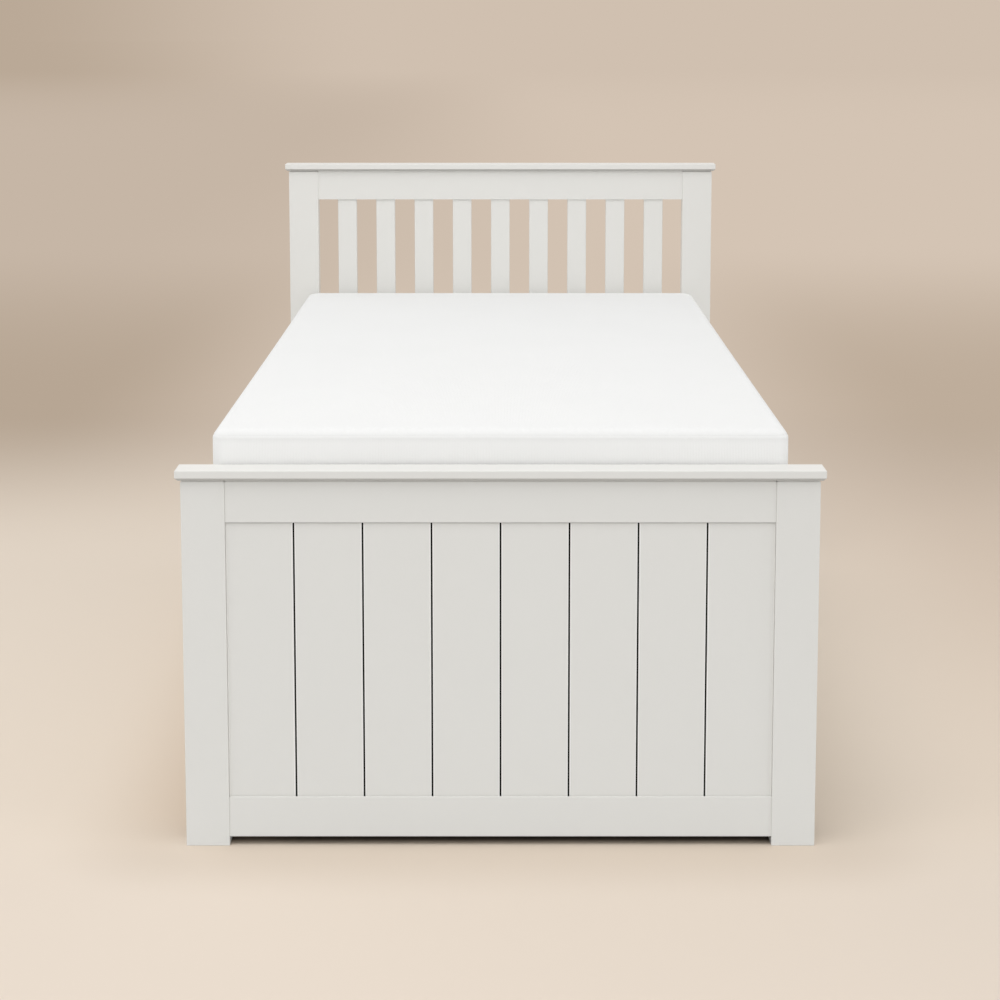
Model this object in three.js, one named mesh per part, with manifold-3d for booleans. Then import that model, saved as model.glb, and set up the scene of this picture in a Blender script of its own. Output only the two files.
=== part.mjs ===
// Captain's bed: a painted single bed with boarded ends, three drawers and a trundle on castors.
// Millimetres. +Z is up, -Y is the foot end, +X is the open side that the drawers slide out of.
// The origin is on the floor, under the middle of the bed.

import * as THREE from "three";
import { mergeVertices } from "three/addons/utils/BufferGeometryUtils.js";
import Module from "manifold-3d";

const wasm = await Module();
wasm.setup();

// Mattress
const mattressLength = 1900;
const mattressWidth = 900;
const mattressThickness = 200;
const mattressSideGap = 1;
const mattressCapGap = 4;
const mattressDrop = 40;

// Clearances and edges
const fitGap = 0.3;
const cutOverrun = 2;
const weldDistance = 1e-3;

// Posts and caps
const postWidth = 68;
const postDepth = 42;
const postProud = 16;
const footPostRise = 86;
const headPostRise = 441;
const capThickness = 16;
const capOverhang = 8;
const capChamfer = 4.5;

// Rails of the two ends
const topRailHeight = 67;
const endRailHeight = 65;
const endRailThickness = 28;
const endRailSetback = 2;
const endRailLift = 14.5;

// Tongue and groove boards
const boardCount = 8;
const boardThickness = 12;
const boardSetback = 3;
const boardGap = 2.3;
const boardArris = 1;
const boardHousing = 8;
const tongueSetback = 6;
const tongueThickness = 3.6;
const tongueLength = 6;

// Upright slats of the head end
const headSlatCount = 9;
const headSlatWidth = 44;
const headSlatThickness = 18;
const headSlatSetback = 3;
const headSlatTenon = 10;

// Side rails and the ledge that the bed slats lie on
const sideRailThickness = 28;
const sideRailHeight = 90;
const sideRailGap = 5;
const ledgeWidth = 24;
const ledgeHeight = 22;

// Bed slats and webbing tapes
const slatCount = 14;
const slatWidth = 70;
const slatThickness = 12;
const slatEndGap = 4;
const slatRollMargin = 10;
const tapeWidth = 25;
const tapeThickness = 1.5;
const tapeSpacing = 560;
const tapeBite = 0.5;

// Rail between drawers and trundle, and rail on the wall side
const midRailHeight = 20;
const midRailWidth = 40;
const wallRailThickness = 22;
const wallRailHeight = 120;

// Uprights across the bed, with the runners of the drawers
const uprightThickness = 18;
const uprightTopGap = 2;
const runnerWidth = 18;
const runnerHeight = 18;

// Drawers
const drawerCount = 3;
const drawerFrontHeight = 170;
const drawerFrontThickness = 18;
const drawerFrontGap = 3;
const drawerBoxDepth = 600;
const drawerBoxDrop = 20;
const drawerSideGap = 5.5;
const drawerWall = 12;
const drawerBottomThickness = 6;
const drawerBottomLift = 8;

// Turned knobs
const knobSpacing = 320;
const knobProjection = 24;
const knobRadius = 17;
const knobFootRadius = 9;
const knobNeckRadius = 6.5;
const knobSides = 20;

// Trundle
const trundleFrontHeight = 193;
const trundleFrontThickness = 18;
const trundleFrontLift = 15;
const trundleFrontGap = 4;
const trundleHeadroom = 24;
const trundleStopLap = 18;
const trundleEndGap = 14;
const trundleWall = 18;
const trundleLedgeHeight = 25;
const trundleLedgeWidth = 40;
const trundleSlatCount = 14;
const trundleSlatMargin = 5;
const trundleKnobSpacing = 800;

// Castors
const wheelRadius = 20;
const wheelWidth = 18;
const wheelShoulder = 2;
const wheelSides = 28;
const axleRadius = 3;
const axleSides = 12;
const castorPlateThickness = 3;
const castorPlateLength = 60;
const castorHeadroom = 5;
const cheekThickness = 3;
const cheekGap = 1;
const cheekFootRadius = 8;
const cheekTopWidth = 34;
const cheekArcSteps = 8;
const castorInset = 110;

// Widths: from the middle of the bed out to the posts and caps
const railInnerX = mattressWidth / 2 + mattressSideGap;
const railOuterX = railInnerX + sideRailThickness;
const postOuterX = railOuterX + postProud;
const postInnerX = postOuterX - postWidth;

// Lengths: from the middle of the bed out to the two ends, whose caps hang over the mattress's ends
const postInnerY = mattressLength / 2 + mattressCapGap + capOverhang;
const endCentreY = postInnerY + postDepth / 2;

// Heights: the open side stacked up from the floor
const trundleFrontTop = trundleFrontLift + trundleFrontHeight;
const midRailBottom = trundleFrontTop + trundleFrontGap;
const midRailTop = midRailBottom + midRailHeight;
const drawerFrontBottom = midRailTop + drawerFrontGap;
const drawerFrontTop = drawerFrontBottom + drawerFrontHeight;
const sideRailBottom = drawerFrontTop + sideRailGap;
const sideRailTop = sideRailBottom + sideRailHeight;
const slatTop = sideRailTop - mattressDrop;
const ledgeTop = slatTop - slatThickness;
const footPostTop = sideRailTop + footPostRise;
const headPostTop = sideRailTop + headPostRise;

// Heights of the trundle, which stands on its own wheels
const castorPlateBottom = 2 * wheelRadius + castorHeadroom;
const trundleBottom = castorPlateBottom + castorPlateThickness;
const trundleTop = midRailBottom - trundleHeadroom;
const trundleLedgeTop = trundleBottom + trundleLedgeHeight;
const wallRailBottom = trundleTop - trundleStopLap;
const wallRailInnerX = railOuterX - wallRailThickness;

// Faces of the drawers and the trundle, flush with the side rail
const drawerFrontBack = railOuterX - drawerFrontThickness;
const trundleFrontBack = railOuterX - trundleFrontThickness;

const paint = new THREE.MeshStandardMaterial({ color: 0xdedcd7, roughness: 0.45, metalness: 0 });
const pine = new THREE.MeshStandardMaterial({ color: 0xd9b98a, roughness: 0.6, metalness: 0 });
const ticking = new THREE.MeshStandardMaterial({ color: 0xf1f1ef, roughness: 0.9, metalness: 0 });
const wheelPlastic = new THREE.MeshStandardMaterial({ color: 0x3a3c3f, roughness: 0.5, metalness: 0 });

// A named piece in a group, at the place where its geometry's own origin goes
function addPiece(group, name, geometry, material, place = [0, 0, 0]) {
  const mesh = new THREE.Mesh(geometry, material);
  mesh.name = name;
  mesh.position.set(...place);
  group.add(mesh);
}

// A squared board or bar between two opposite corners
function board(low, high) {
  const size = high.map((value, i) => value - low[i]);
  const geometry = new THREE.BoxGeometry(...size);
  geometry.translate(...low.map((value, i) => value + size[i] / 2));
  return geometry;
}

// A closed solid through rings of points that all run anticlockwise seen from above, lowest first
function loft(rings) {
  const count = rings[0].length;
  const positions = rings.flat().flatMap((p) => [p.x, p.y, p.z]);
  const index = [];
  for (let r = 0; r + 1 < rings.length; r++) {
    for (let i = 0; i < count; i++) {
      const next = (i + 1) % count;
      const a = r * count + i;
      const b = r * count + next;
      index.push(a, b, b + count, a, b + count, a + count);
    }
  }
  for (const ring of [0, rings.length - 1]) {
    const middle = positions.length / 3;
    const centre = rings[ring].reduce((sum, p) => sum.add(p), new THREE.Vector3());
    positions.push(...centre.divideScalar(count).toArray());
    for (let i = 0; i < count; i++) {
      const a = ring * count + i;
      const b = ring * count + ((i + 1) % count);
      index.push(middle, ...(ring === 0 ? [b, a] : [a, b]));
    }
  }
  const geometry = new THREE.BufferGeometry();
  geometry.setAttribute("position", new THREE.Float32BufferAttribute(positions, 3));
  geometry.setIndex(index);
  geometry.computeVertexNormals();
  return geometry;
}

// The solid inside a closed geometry
function solidOf(geometry) {
  const bare = geometry.clone();
  bare.deleteAttribute("normal");
  bare.deleteAttribute("uv");
  const merged = mergeVertices(bare, weldDistance);
  const vertProperties = merged.attributes.position.array;
  const triVerts = new Uint32Array(merged.index.array);
  return new wasm.Manifold(new wasm.Mesh({ numProp: 3, vertProperties, triVerts }));
}

// The geometry of a solid
function geometryOf(solid) {
  const mesh = solid.getMesh();
  const geometry = new THREE.BufferGeometry();
  geometry.setAttribute("position", new THREE.BufferAttribute(mesh.vertProperties, mesh.numProp));
  geometry.setIndex(new THREE.BufferAttribute(mesh.triVerts, 1));
  geometry.computeVertexNormals();
  return geometry;
}

// Pieces glued into one
function joined(geometries) {
  return geometryOf(geometries.map(solidOf).reduce((a, b) => a.add(b)));
}

// A piece with housings, mortises or hollows cut out of it
function cutOut(geometry, tools) {
  return geometryOf(tools.map(solidOf).reduce((a, b) => a.subtract(b), solidOf(geometry)));
}

// A cap lies on the posts and hangs over them all round, chamfered underneath
function capGeometry() {
  const halfX = postOuterX + capOverhang;
  const halfY = postDepth / 2 + capOverhang;
  const corners = [[-1, -1], [1, -1], [1, 1], [-1, 1]];
  const ring = (inset, z) =>
    corners.map(([sx, sy]) => new THREE.Vector3(sx * (halfX - inset), sy * (halfY - inset), z));
  return loft([ring(capChamfer, 0), ring(0, capChamfer), ring(0, capThickness)]);
}

const railFrontY = endRailSetback - postDepth / 2;
const railBackY = railFrontY + endRailThickness;
const boardFrontY = railFrontY + boardSetback;
const boardBackY = boardFrontY + boardThickness;
const headSlatFrontY = railFrontY + headSlatSetback;

// A rail between the posts of one end, its lower face at z = 0
function endRail(height) {
  return board([-postInnerX, railFrontY, 0], [postInnerX, railBackY, height]);
}

// The long housing in a rail that the ends of the boards stand in
function boardHousingCut(low, high) {
  return board([-postInnerX - cutOverrun, boardFrontY - fitGap, low],
    [postInnerX + cutOverrun, boardBackY + fitGap, high]);
}
const housingInTop = () =>
  boardHousingCut(endRailHeight - boardHousing - fitGap, endRailHeight + cutOverrun);
const housingInUnderside = () => boardHousingCut(-cutOverrun, boardHousing + fitGap);

// Where the upright slats of the head end stand, evenly between the posts
const headSlatSpace = (2 * postInnerX - headSlatCount * headSlatWidth) / (headSlatCount + 1);
const headSlatLeft = (i) => -postInnerX + headSlatSpace + i * (headSlatWidth + headSlatSpace);

// The mortises for the tenons of the upright slats
function mortises(low, high) {
  return Array.from({ length: headSlatCount }, (_, i) =>
    board([headSlatLeft(i) - fitGap, headSlatFrontY - fitGap, low],
      [headSlatLeft(i) + headSlatWidth + fitGap, headSlatFrontY + headSlatThickness + fitGap, high]));
}
const mortisesInTop = () => mortises(endRailHeight - headSlatTenon - fitGap, endRailHeight + cutOverrun);
const mortisesInUnderside = () => mortises(-cutOverrun, headSlatTenon + fitGap);

// Boards of one width share the space between the posts, with a groove between each two
const boardWidth = (2 * postInnerX - (boardCount - 1) * boardGap) / boardCount;
const boardLeft = (i) => -postInnerX + i * (boardWidth + boardGap);
const boardRight = (i) => boardLeft(i) + boardWidth;
const tongueFrontY = boardFrontY + tongueSetback;
const tongueBackY = tongueFrontY + tongueThickness;

// Section of one board: eased front edges, a tongue on its right and a groove on its left
function boardSection(i) {
  const left = boardLeft(i);
  const right = boardRight(i);
  const points = [[left + boardArris, boardFrontY], [right - boardArris, boardFrontY],
    [right, boardFrontY + boardArris]];
  if (i < boardCount - 1) {
    const tip = right + boardGap + tongueLength;
    points.push([right, tongueFrontY], [tip, tongueFrontY], [tip, tongueBackY], [right, tongueBackY]);
  }
  points.push([right, boardBackY], [left, boardBackY]);
  if (i > 0) {
    const floor = left + tongueLength + fitGap;
    points.push([left, tongueBackY + fitGap], [floor, tongueBackY + fitGap]);
    points.push([floor, tongueFrontY - fitGap], [left, tongueFrontY - fitGap]);
  }
  points.push([left, boardFrontY + boardArris]);
  return new THREE.Shape(points.map(([x, y]) => new THREE.Vector2(x, y)));
}

// Section of the whole lower panel of the head end: the same boards, glued up as one
function panelSection() {
  const points = [];
  for (let i = 0; i < boardCount; i++) {
    const left = boardLeft(i);
    const right = boardRight(i);
    if (i > 0) points.push([left, tongueFrontY]);
    points.push([left, boardFrontY + boardArris], [left + boardArris, boardFrontY]);
    points.push([right - boardArris, boardFrontY], [right, boardFrontY + boardArris]);
    if (i < boardCount - 1) points.push([right, tongueFrontY]);
  }
  points.push([postInnerX, boardBackY], [-postInnerX, boardBackY]);
  return new THREE.Shape(points.map(([x, y]) => new THREE.Vector2(x, y)));
}

// The boards stand between two rails, with their ends in the housings
function standBetween(section, lowerRailTop, upperRailBottom) {
  const low = lowerRailTop - boardHousing;
  const high = upperRailBottom + boardHousing;
  const geometry = new THREE.ExtrudeGeometry(section, { depth: high - low, bevelEnabled: false });
  geometry.translate(0, 0, low);
  return geometry;
}

// The posts and the cap of one end
function addPostsAndCap(group, end, top) {
  for (const [side, sign] of [["left", -1], ["right", 1]]) {
    const post = board([-postWidth / 2, -postDepth / 2, 0], [postWidth / 2, postDepth / 2, top]);
    const x = sign * (postInnerX + postWidth / 2);
    addPiece(group, `${end}_post_${side}`, post, paint, [x, 0, 0]);
  }
  addPiece(group, `${end}_cap_rail`, capGeometry(), paint, [0, 0, top]);
}

const bottomRailTop = endRailLift + endRailHeight;
const boardsTop = footPostTop - topRailHeight;
const middleRailTop = boardsTop + endRailHeight;
const topRail = (cuts) => cutOut(endRail(topRailHeight), cuts);
const lowerRail = (cuts) => cutOut(endRail(endRailHeight), cuts);

// Foot end: posts, cap, two rails and eight boards
function footboard() {
  const group = new THREE.Group();
  addPostsAndCap(group, "foot", footPostTop);
  addPiece(group, "foot_top_rail", topRail([housingInUnderside()]), paint, [0, 0, boardsTop]);
  addPiece(group, "foot_bottom_rail", lowerRail([housingInTop()]), paint, [0, 0, endRailLift]);
  for (let i = 0; i < boardCount; i++) {
    addPiece(group, `foot_board_${i + 1}`, standBetween(boardSection(i), bottomRailTop, boardsTop), paint);
  }
  group.position.y = -endCentreY;
  return group;
}

// Head end: posts, cap, three rails, nine upright slats and the panel below them
function headboard() {
  const group = new THREE.Group();
  const topRailBottom = headPostTop - topRailHeight;
  addPostsAndCap(group, "head", headPostTop);
  addPiece(group, "head_top_rail", topRail(mortisesInUnderside()), paint, [0, 0, topRailBottom]);
  const middleRail = lowerRail([housingInUnderside(), ...mortisesInTop()]);
  addPiece(group, "head_middle_rail", middleRail, paint, [0, 0, boardsTop]);
  addPiece(group, "head_bottom_rail", lowerRail([housingInTop()]), paint, [0, 0, endRailLift]);
  addPiece(group, "head_lower_panel", standBetween(panelSection(), bottomRailTop, boardsTop), paint);
  for (let i = 0; i < headSlatCount; i++) {
    const low = [0, headSlatFrontY, middleRailTop - headSlatTenon];
    const high = [headSlatWidth, headSlatFrontY + headSlatThickness, topRailBottom + headSlatTenon];
    addPiece(group, `head_slat_${i + 1}`, board(low, high), paint, [headSlatLeft(i), 0, 0]);
  }
  group.position.y = endCentreY;
  return group;
}

// A side rail with the ledge glued along its inner face; sign tells the side
function sideRail(sign) {
  const across = (x0, x1) => [Math.min(sign * x0, sign * x1), Math.max(sign * x0, sign * x1)];
  const [railLow, railHigh] = across(railInnerX, railOuterX);
  const [ledgeLow, ledgeHigh] = across(railInnerX - ledgeWidth, railInnerX);
  return joined([
    board([railLow, -postInnerY, sideRailBottom], [railHigh, postInnerY, sideRailTop]),
    board([ledgeLow, -postInnerY, ledgeTop - ledgeHeight], [ledgeHigh, postInnerY, ledgeTop]),
  ]);
}

// A roll of slats: boards across the bed, stapled to two webbing tapes under them
function slatRoll(count, halfWidth, halfLength, top) {
  const bottom = top - slatThickness;
  const pitch = (2 * halfLength - slatWidth) / (count - 1);
  const pieces = Array.from({ length: count }, (_, i) => {
    const y = -halfLength + i * pitch;
    return board([-halfWidth, y, bottom], [halfWidth, y + slatWidth, top]);
  });
  for (const x of [-tapeSpacing / 2, tapeSpacing / 2]) {
    pieces.push(board([x - tapeWidth / 2, -halfLength, bottom - tapeThickness],
      [x + tapeWidth / 2, halfLength, bottom + tapeBite]));
  }
  return joined(pieces);
}

// Side rails, the rails between and behind the drawers, and the roll of slats
function bedFrame() {
  const group = new THREE.Group();
  addPiece(group, "side_rail_open_side", sideRail(1), paint);
  addPiece(group, "side_rail_wall_side", sideRail(-1), paint);
  addPiece(group, "mid_rail", board([railOuterX - midRailWidth, -postInnerY, midRailBottom],
    [railOuterX, postInnerY, midRailTop]), paint);
  addPiece(group, "wall_rail", board([-railOuterX, -postInnerY, wallRailBottom],
    [-wallRailInnerX, postInnerY, wallRailBottom + wallRailHeight]), paint);
  const roll = slatRoll(slatCount, railInnerX - slatEndGap, mattressLength / 2 - slatRollMargin, slatTop);
  addPiece(group, "slat_roll", roll, pine);
  return group;
}

// The drawer fronts share the length between the posts, and the uprights stand behind the joints
const drawerFrontWidth = (2 * postInnerY - (drawerCount + 1) * drawerFrontGap) / drawerCount;
const drawerFrontPitch = drawerFrontWidth + drawerFrontGap;
const drawerFrontY = (i) => (i - (drawerCount - 1) / 2) * drawerFrontPitch;
const uprightLowY = (i) => {
  if (i === 0) return -postInnerY;
  if (i === drawerCount) return postInnerY - uprightThickness;
  return drawerFrontY(i) - drawerFrontPitch / 2 - uprightThickness / 2;
};
const bayLowY = (i) => uprightLowY(i) + uprightThickness;
const bayHighY = (i) => uprightLowY(i + 1);
const uprightFrontX = drawerFrontBack - fitGap;

// An upright board across the bed, with a runner on each side that has a drawer
function upright(i) {
  const y = uprightLowY(i);
  const top = sideRailBottom - uprightTopGap;
  const pieces = [board([-wallRailInnerX, y, midRailTop], [uprightFrontX, y + uprightThickness, top])];
  const runnerTop = midRailTop + runnerHeight;
  if (i > 0) {
    pieces.push(board([-wallRailInnerX, y - runnerWidth, midRailTop], [uprightFrontX, y, runnerTop]));
  }
  if (i < drawerCount) {
    const outer = y + uprightThickness;
    const low = [-wallRailInnerX, outer, midRailTop];
    pieces.push(board(low, [uprightFrontX, outer + runnerWidth, runnerTop]));
  }
  return joined(pieces);
}

function uprights() {
  const group = new THREE.Group();
  for (let i = 0; i <= drawerCount; i++) addPiece(group, `upright_${i + 1}`, upright(i), pine);
  return group;
}

// Where the turned shapes of a knob lie along it
const knobShares = { foot: 0.12, neckLow: 0.33, neckHigh: 0.42, swell: 0.58, widest: 0.75, shoulder: 0.92 };

// A turned knob, its foot on x = 0 and its face towards +X
function knobGeometry() {
  const shoulderRadius = knobRadius - knobFootRadius / 4;
  const profile = [
    [0, 0],
    [knobFootRadius, 0],
    [knobFootRadius, knobShares.foot * knobProjection],
    [knobNeckRadius, knobShares.neckLow * knobProjection],
    [knobNeckRadius, knobShares.neckHigh * knobProjection],
    [shoulderRadius, knobShares.swell * knobProjection],
    [knobRadius, knobShares.widest * knobProjection],
    [shoulderRadius, knobShares.shoulder * knobProjection],
    [knobRadius - knobFootRadius, knobProjection],
    [0, knobProjection],
  ];
  const geometry = new THREE.LatheGeometry(profile.map(([r, a]) => new THREE.Vector2(r, a)), knobSides);
  geometry.rotateZ(-Math.PI / 2);
  return geometry;
}

function addKnobs(group, name, y, z, spacing) {
  for (const [side, sign] of [["left", -1], ["right", 1]]) {
    const place = [railOuterX, y + (sign * spacing) / 2, z];
    addPiece(group, `${name}_knob_${side}`, knobGeometry(), paint, place);
  }
}

const drawerBoxBottom = midRailTop + runnerHeight + fitGap;
const drawerBoxTop = drawerFrontTop - drawerBoxDrop;

// A drawer box: four walls round a thin bottom that sits up from their lower edges
function drawerBox(i) {
  const low = [drawerFrontBack - drawerBoxDepth, bayLowY(i) + drawerSideGap, drawerBoxBottom];
  const high = [drawerFrontBack, bayHighY(i) - drawerSideGap, drawerBoxTop];
  const bottomLow = drawerBoxBottom + drawerBottomLift;
  const insideLow = [low[0] + drawerWall, low[1] + drawerWall];
  const insideHigh = [high[0] - drawerWall, high[1] - drawerWall];
  return cutOut(board(low, high), [
    board([...insideLow, bottomLow + drawerBottomThickness], [...insideHigh, drawerBoxTop + cutOverrun]),
    board([...insideLow, drawerBoxBottom - cutOverrun], [...insideHigh, bottomLow]),
  ]);
}

function drawer(i) {
  const group = new THREE.Group();
  const name = `drawer_${i + 1}`;
  const y = drawerFrontY(i);
  const half = drawerFrontWidth / 2;
  addPiece(group, `${name}_front`, board([drawerFrontBack, y - half, drawerFrontBottom],
    [railOuterX, y + half, drawerFrontTop]), paint);
  addPiece(group, `${name}_box`, drawerBox(i), pine);
  addKnobs(group, name, y, (drawerFrontBottom + drawerFrontTop) / 2, knobSpacing);
  return group;
}

const trundleHalfY = postInnerY - trundleEndGap;
const trundleBackX = -wallRailInnerX + fitGap;
const trundleInsideX = [trundleBackX + trundleWall, trundleFrontBack - trundleWall];
const castorX = [trundleBackX + castorInset, trundleFrontBack - castorInset];
const castorY = trundleHalfY - trundleWall - trundleLedgeWidth / 2;

// Fork of a fixed castor: a plate screwed under the ledge, two cheeks and the axle between them
function castorFork(x, y) {
  const inner = wheelWidth / 2 + cheekGap;
  const outer = inner + cheekThickness;
  const plate = board([x - castorPlateLength / 2, y - outer, castorPlateBottom],
    [x + castorPlateLength / 2, y + outer, trundleBottom]);
  const outline = new THREE.Shape();
  outline.moveTo(cheekTopWidth / 2, castorPlateBottom - wheelRadius);
  outline.lineTo(-cheekTopWidth / 2, castorPlateBottom - wheelRadius);
  outline.lineTo(-cheekFootRadius, 0);
  outline.absarc(0, 0, cheekFootRadius, Math.PI, 2 * Math.PI, false);
  const cheeks = [-outer, inner].map((low) => {
    const cheek = new THREE.ExtrudeGeometry(outline,
      { depth: cheekThickness, bevelEnabled: false, curveSegments: cheekArcSteps });
    cheek.rotateX(Math.PI / 2);
    cheek.translate(x, y + low + cheekThickness, wheelRadius);
    return cheek;
  });
  const axle = new THREE.CylinderGeometry(axleRadius, axleRadius, 2 * outer, axleSides);
  axle.translate(x, y, wheelRadius);
  return joined([plate, ...cheeks, axle]);
}

// Frame of the trundle: four walls, a ledge all round inside for the slats, and four castor forks
function trundleFrame() {
  const [backX, frontX] = trundleInsideX;
  const halfY = trundleHalfY - trundleWall;
  const walls = cutOut(
    board([trundleBackX, -trundleHalfY, trundleBottom], [trundleFrontBack, trundleHalfY, trundleTop]),
    [
      board([backX, -halfY, trundleLedgeTop], [frontX, halfY, trundleTop + cutOverrun]),
      board([backX + trundleLedgeWidth, -halfY + trundleLedgeWidth, trundleBottom - cutOverrun],
        [frontX - trundleLedgeWidth, halfY - trundleLedgeWidth, trundleLedgeTop + cutOverrun]),
    ],
  );
  const forks = castorX.flatMap((x) => [castorFork(x, -castorY), castorFork(x, castorY)]);
  return joined([walls, ...forks]);
}

// A castor wheel on its axle, with eased shoulders and a bore that runs free
function castorWheel() {
  const bore = axleRadius + fitGap;
  const half = wheelWidth / 2;
  const profile = [
    [bore, -half],
    [wheelRadius - wheelShoulder, -half],
    [wheelRadius, -half + wheelShoulder],
    [wheelRadius, half - wheelShoulder],
    [wheelRadius - wheelShoulder, half],
    [bore, half],
    [bore, -half],
  ];
  return new THREE.LatheGeometry(profile.map(([r, a]) => new THREE.Vector2(r, a)), wheelSides);
}

function trundle() {
  const group = new THREE.Group();
  const frontHalf = postInnerY - drawerFrontGap;
  addPiece(group, "trundle_front", board([trundleFrontBack, -frontHalf, trundleFrontLift],
    [railOuterX, frontHalf, trundleFrontTop]), paint);
  addPiece(group, "trundle_frame", trundleFrame(), pine);
  const slatHalfX = (trundleInsideX[1] - trundleInsideX[0]) / 2 - slatEndGap;
  const slatHalfY = trundleHalfY - trundleWall - trundleLedgeWidth - trundleSlatMargin;
  const slats = slatRoll(trundleSlatCount, slatHalfX, slatHalfY, trundleLedgeTop + slatThickness);
  addPiece(group, "trundle_slat_roll", slats, pine, [(trundleInsideX[0] + trundleInsideX[1]) / 2, 0, 0]);
  addKnobs(group, "trundle", 0, (trundleFrontLift + trundleFrontTop) / 2, trundleKnobSpacing);
  for (const [across, x] of [["wall", castorX[0]], ["open", castorX[1]]]) {
    for (const [end, sign] of [["foot", -1], ["head", 1]]) {
      const place = [x, sign * castorY, wheelRadius];
      addPiece(group, `castor_wheel_${across}_${end}`, castorWheel(), wheelPlastic, place);
    }
  }
  return group;
}

// Mattress values: its form above the side rails, its rounded edges and its crown
const mattressBulge = 4;
const mattressCornerRadius = 20;
const mattressEdgeRadius = 22;
const mattressFootRadius = 12;
const mattressCrown = 7;
const mattressCrownReach = 240;
const mattressDrawIn = 3;
const mattressCornerSteps = 6;
const mattressSideSteps = 6;
const mattressEndSteps = 4;
const mattressEdgeSteps = 4;
const crownShares = [0.08, 0.2, 0.45, 0.75, 1];

// A ring round the mattress, anticlockwise from above: rounded corners, sides drawn in between them
function mattressRing(inset, z, drawIn) {
  const halfX = mattressWidth / 2 + mattressBulge - inset;
  const halfY = mattressLength / 2 - inset;
  const radius = mattressCornerRadius;
  const points = [];
  const side = (x0, y0, x1, y1, steps, outX, outY) => {
    for (let i = 1; i < steps; i++) {
      const t = i / steps;
      const pull = -drawIn * Math.sin(Math.PI * t);
      const x = x0 + (x1 - x0) * t + outX * pull;
      const y = y0 + (y1 - y0) * t + outY * pull;
      points.push(new THREE.Vector3(x, y, z));
    }
  };
  const corner = (cx, cy, from) => {
    for (let i = 0; i <= mattressCornerSteps; i++) {
      const a = from + (Math.PI / 2) * (i / mattressCornerSteps);
      points.push(new THREE.Vector3(cx + radius * Math.cos(a), cy + radius * Math.sin(a), z));
    }
  };
  const cx = halfX - radius;
  const cy = halfY - radius;
  corner(cx, cy, 0);
  side(cx, halfY, -cx, halfY, mattressEndSteps, 0, 1);
  corner(-cx, cy, Math.PI / 2);
  side(-halfX, cy, -halfX, -cy, mattressSideSteps, -1, 0);
  corner(-cx, -cy, Math.PI);
  side(-cx, -halfY, cx, -halfY, mattressEndSteps, 0, -1);
  corner(cx, -cy, 1.5 * Math.PI);
  side(halfX, -cy, halfX, cy, mattressSideSteps, 1, 0);
  return points;
}

// The mattress lies on the slats between the side rails, and stands a little wider above them
function mattress() {
  const base = slatTop + fitGap;
  const top = slatTop + mattressThickness;
  const shoulder = top - mattressCrown;
  const narrow = mattressBulge;
  const rings = [
    mattressRing(narrow + mattressFootRadius, base, 0),
    mattressRing(narrow + mattressFootRadius / 4, base + mattressFootRadius / 4, 0),
    mattressRing(narrow, base + mattressFootRadius, 0),
    mattressRing(narrow, sideRailTop, 0),
    mattressRing(0, sideRailTop + 2 * mattressBulge, mattressDrawIn / 2),
    mattressRing(0, (sideRailTop + shoulder) / 2, mattressDrawIn),
  ];
  for (let i = 0; i <= mattressEdgeSteps; i++) {
    const a = (Math.PI / 2) * (i / mattressEdgeSteps);
    const inset = mattressEdgeRadius * (1 - Math.cos(a));
    const z = shoulder - mattressEdgeRadius * (1 - Math.sin(a));
    rings.push(mattressRing(inset, z, mattressDrawIn / 2));
  }
  for (const share of crownShares) {
    const rise = mattressCrown * Math.sin((Math.PI / 2) * share);
    rings.push(mattressRing(mattressEdgeRadius + share * mattressCrownReach, shoulder + rise, 0));
  }
  return loft(rings);
}

const bed = new THREE.Group();
bed.add(footboard(), headboard(), bedFrame(), uprights());
for (let i = 0; i < drawerCount; i++) bed.add(drawer(i));
bed.add(trundle());
addPiece(bed, "mattress", mattress(), ticking);

export default bed;
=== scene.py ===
# A captain's bed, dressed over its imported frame. Metres. The foot end is towards -Y, the open side
# with the drawers towards +X, and the floor is z = 0.

import math
import random

import bmesh
import bpy
from mathutils import Euler, Matrix, Vector


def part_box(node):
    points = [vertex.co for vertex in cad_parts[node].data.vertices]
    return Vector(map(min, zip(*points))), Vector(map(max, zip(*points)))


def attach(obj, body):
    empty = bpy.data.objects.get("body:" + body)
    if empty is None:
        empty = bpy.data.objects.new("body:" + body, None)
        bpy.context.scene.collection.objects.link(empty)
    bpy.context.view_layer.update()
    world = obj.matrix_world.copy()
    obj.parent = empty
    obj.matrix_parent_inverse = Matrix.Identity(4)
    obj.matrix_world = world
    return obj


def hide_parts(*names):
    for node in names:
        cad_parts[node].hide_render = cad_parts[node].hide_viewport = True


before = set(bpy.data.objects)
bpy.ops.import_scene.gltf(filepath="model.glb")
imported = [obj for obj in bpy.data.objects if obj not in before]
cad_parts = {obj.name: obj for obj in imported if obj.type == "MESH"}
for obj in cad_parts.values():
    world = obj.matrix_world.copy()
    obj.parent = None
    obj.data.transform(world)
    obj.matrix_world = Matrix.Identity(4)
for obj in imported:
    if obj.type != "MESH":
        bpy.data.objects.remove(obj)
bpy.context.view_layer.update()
scene = bpy.context.scene
scene.view_settings.view_transform = "Standard"


# Camera
# It stands well back from the foot end, a little below eye height, in line with the middle of the
# bed. It looks slightly down, and its film is shifted a little.
film_width = 36
lens_length = 85.76
film_shift_share = -0.15
eye_place = (-0.0008, -4.620, 1.289)
eye_tilt = math.radians(7.868)
sight_limit = 400


def placed(name, data):
    """A new object of the scene: a camera, a lamp or a mesh"""
    thing = bpy.data.objects.new(name, data)
    scene.collection.objects.link(thing)
    return thing


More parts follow.
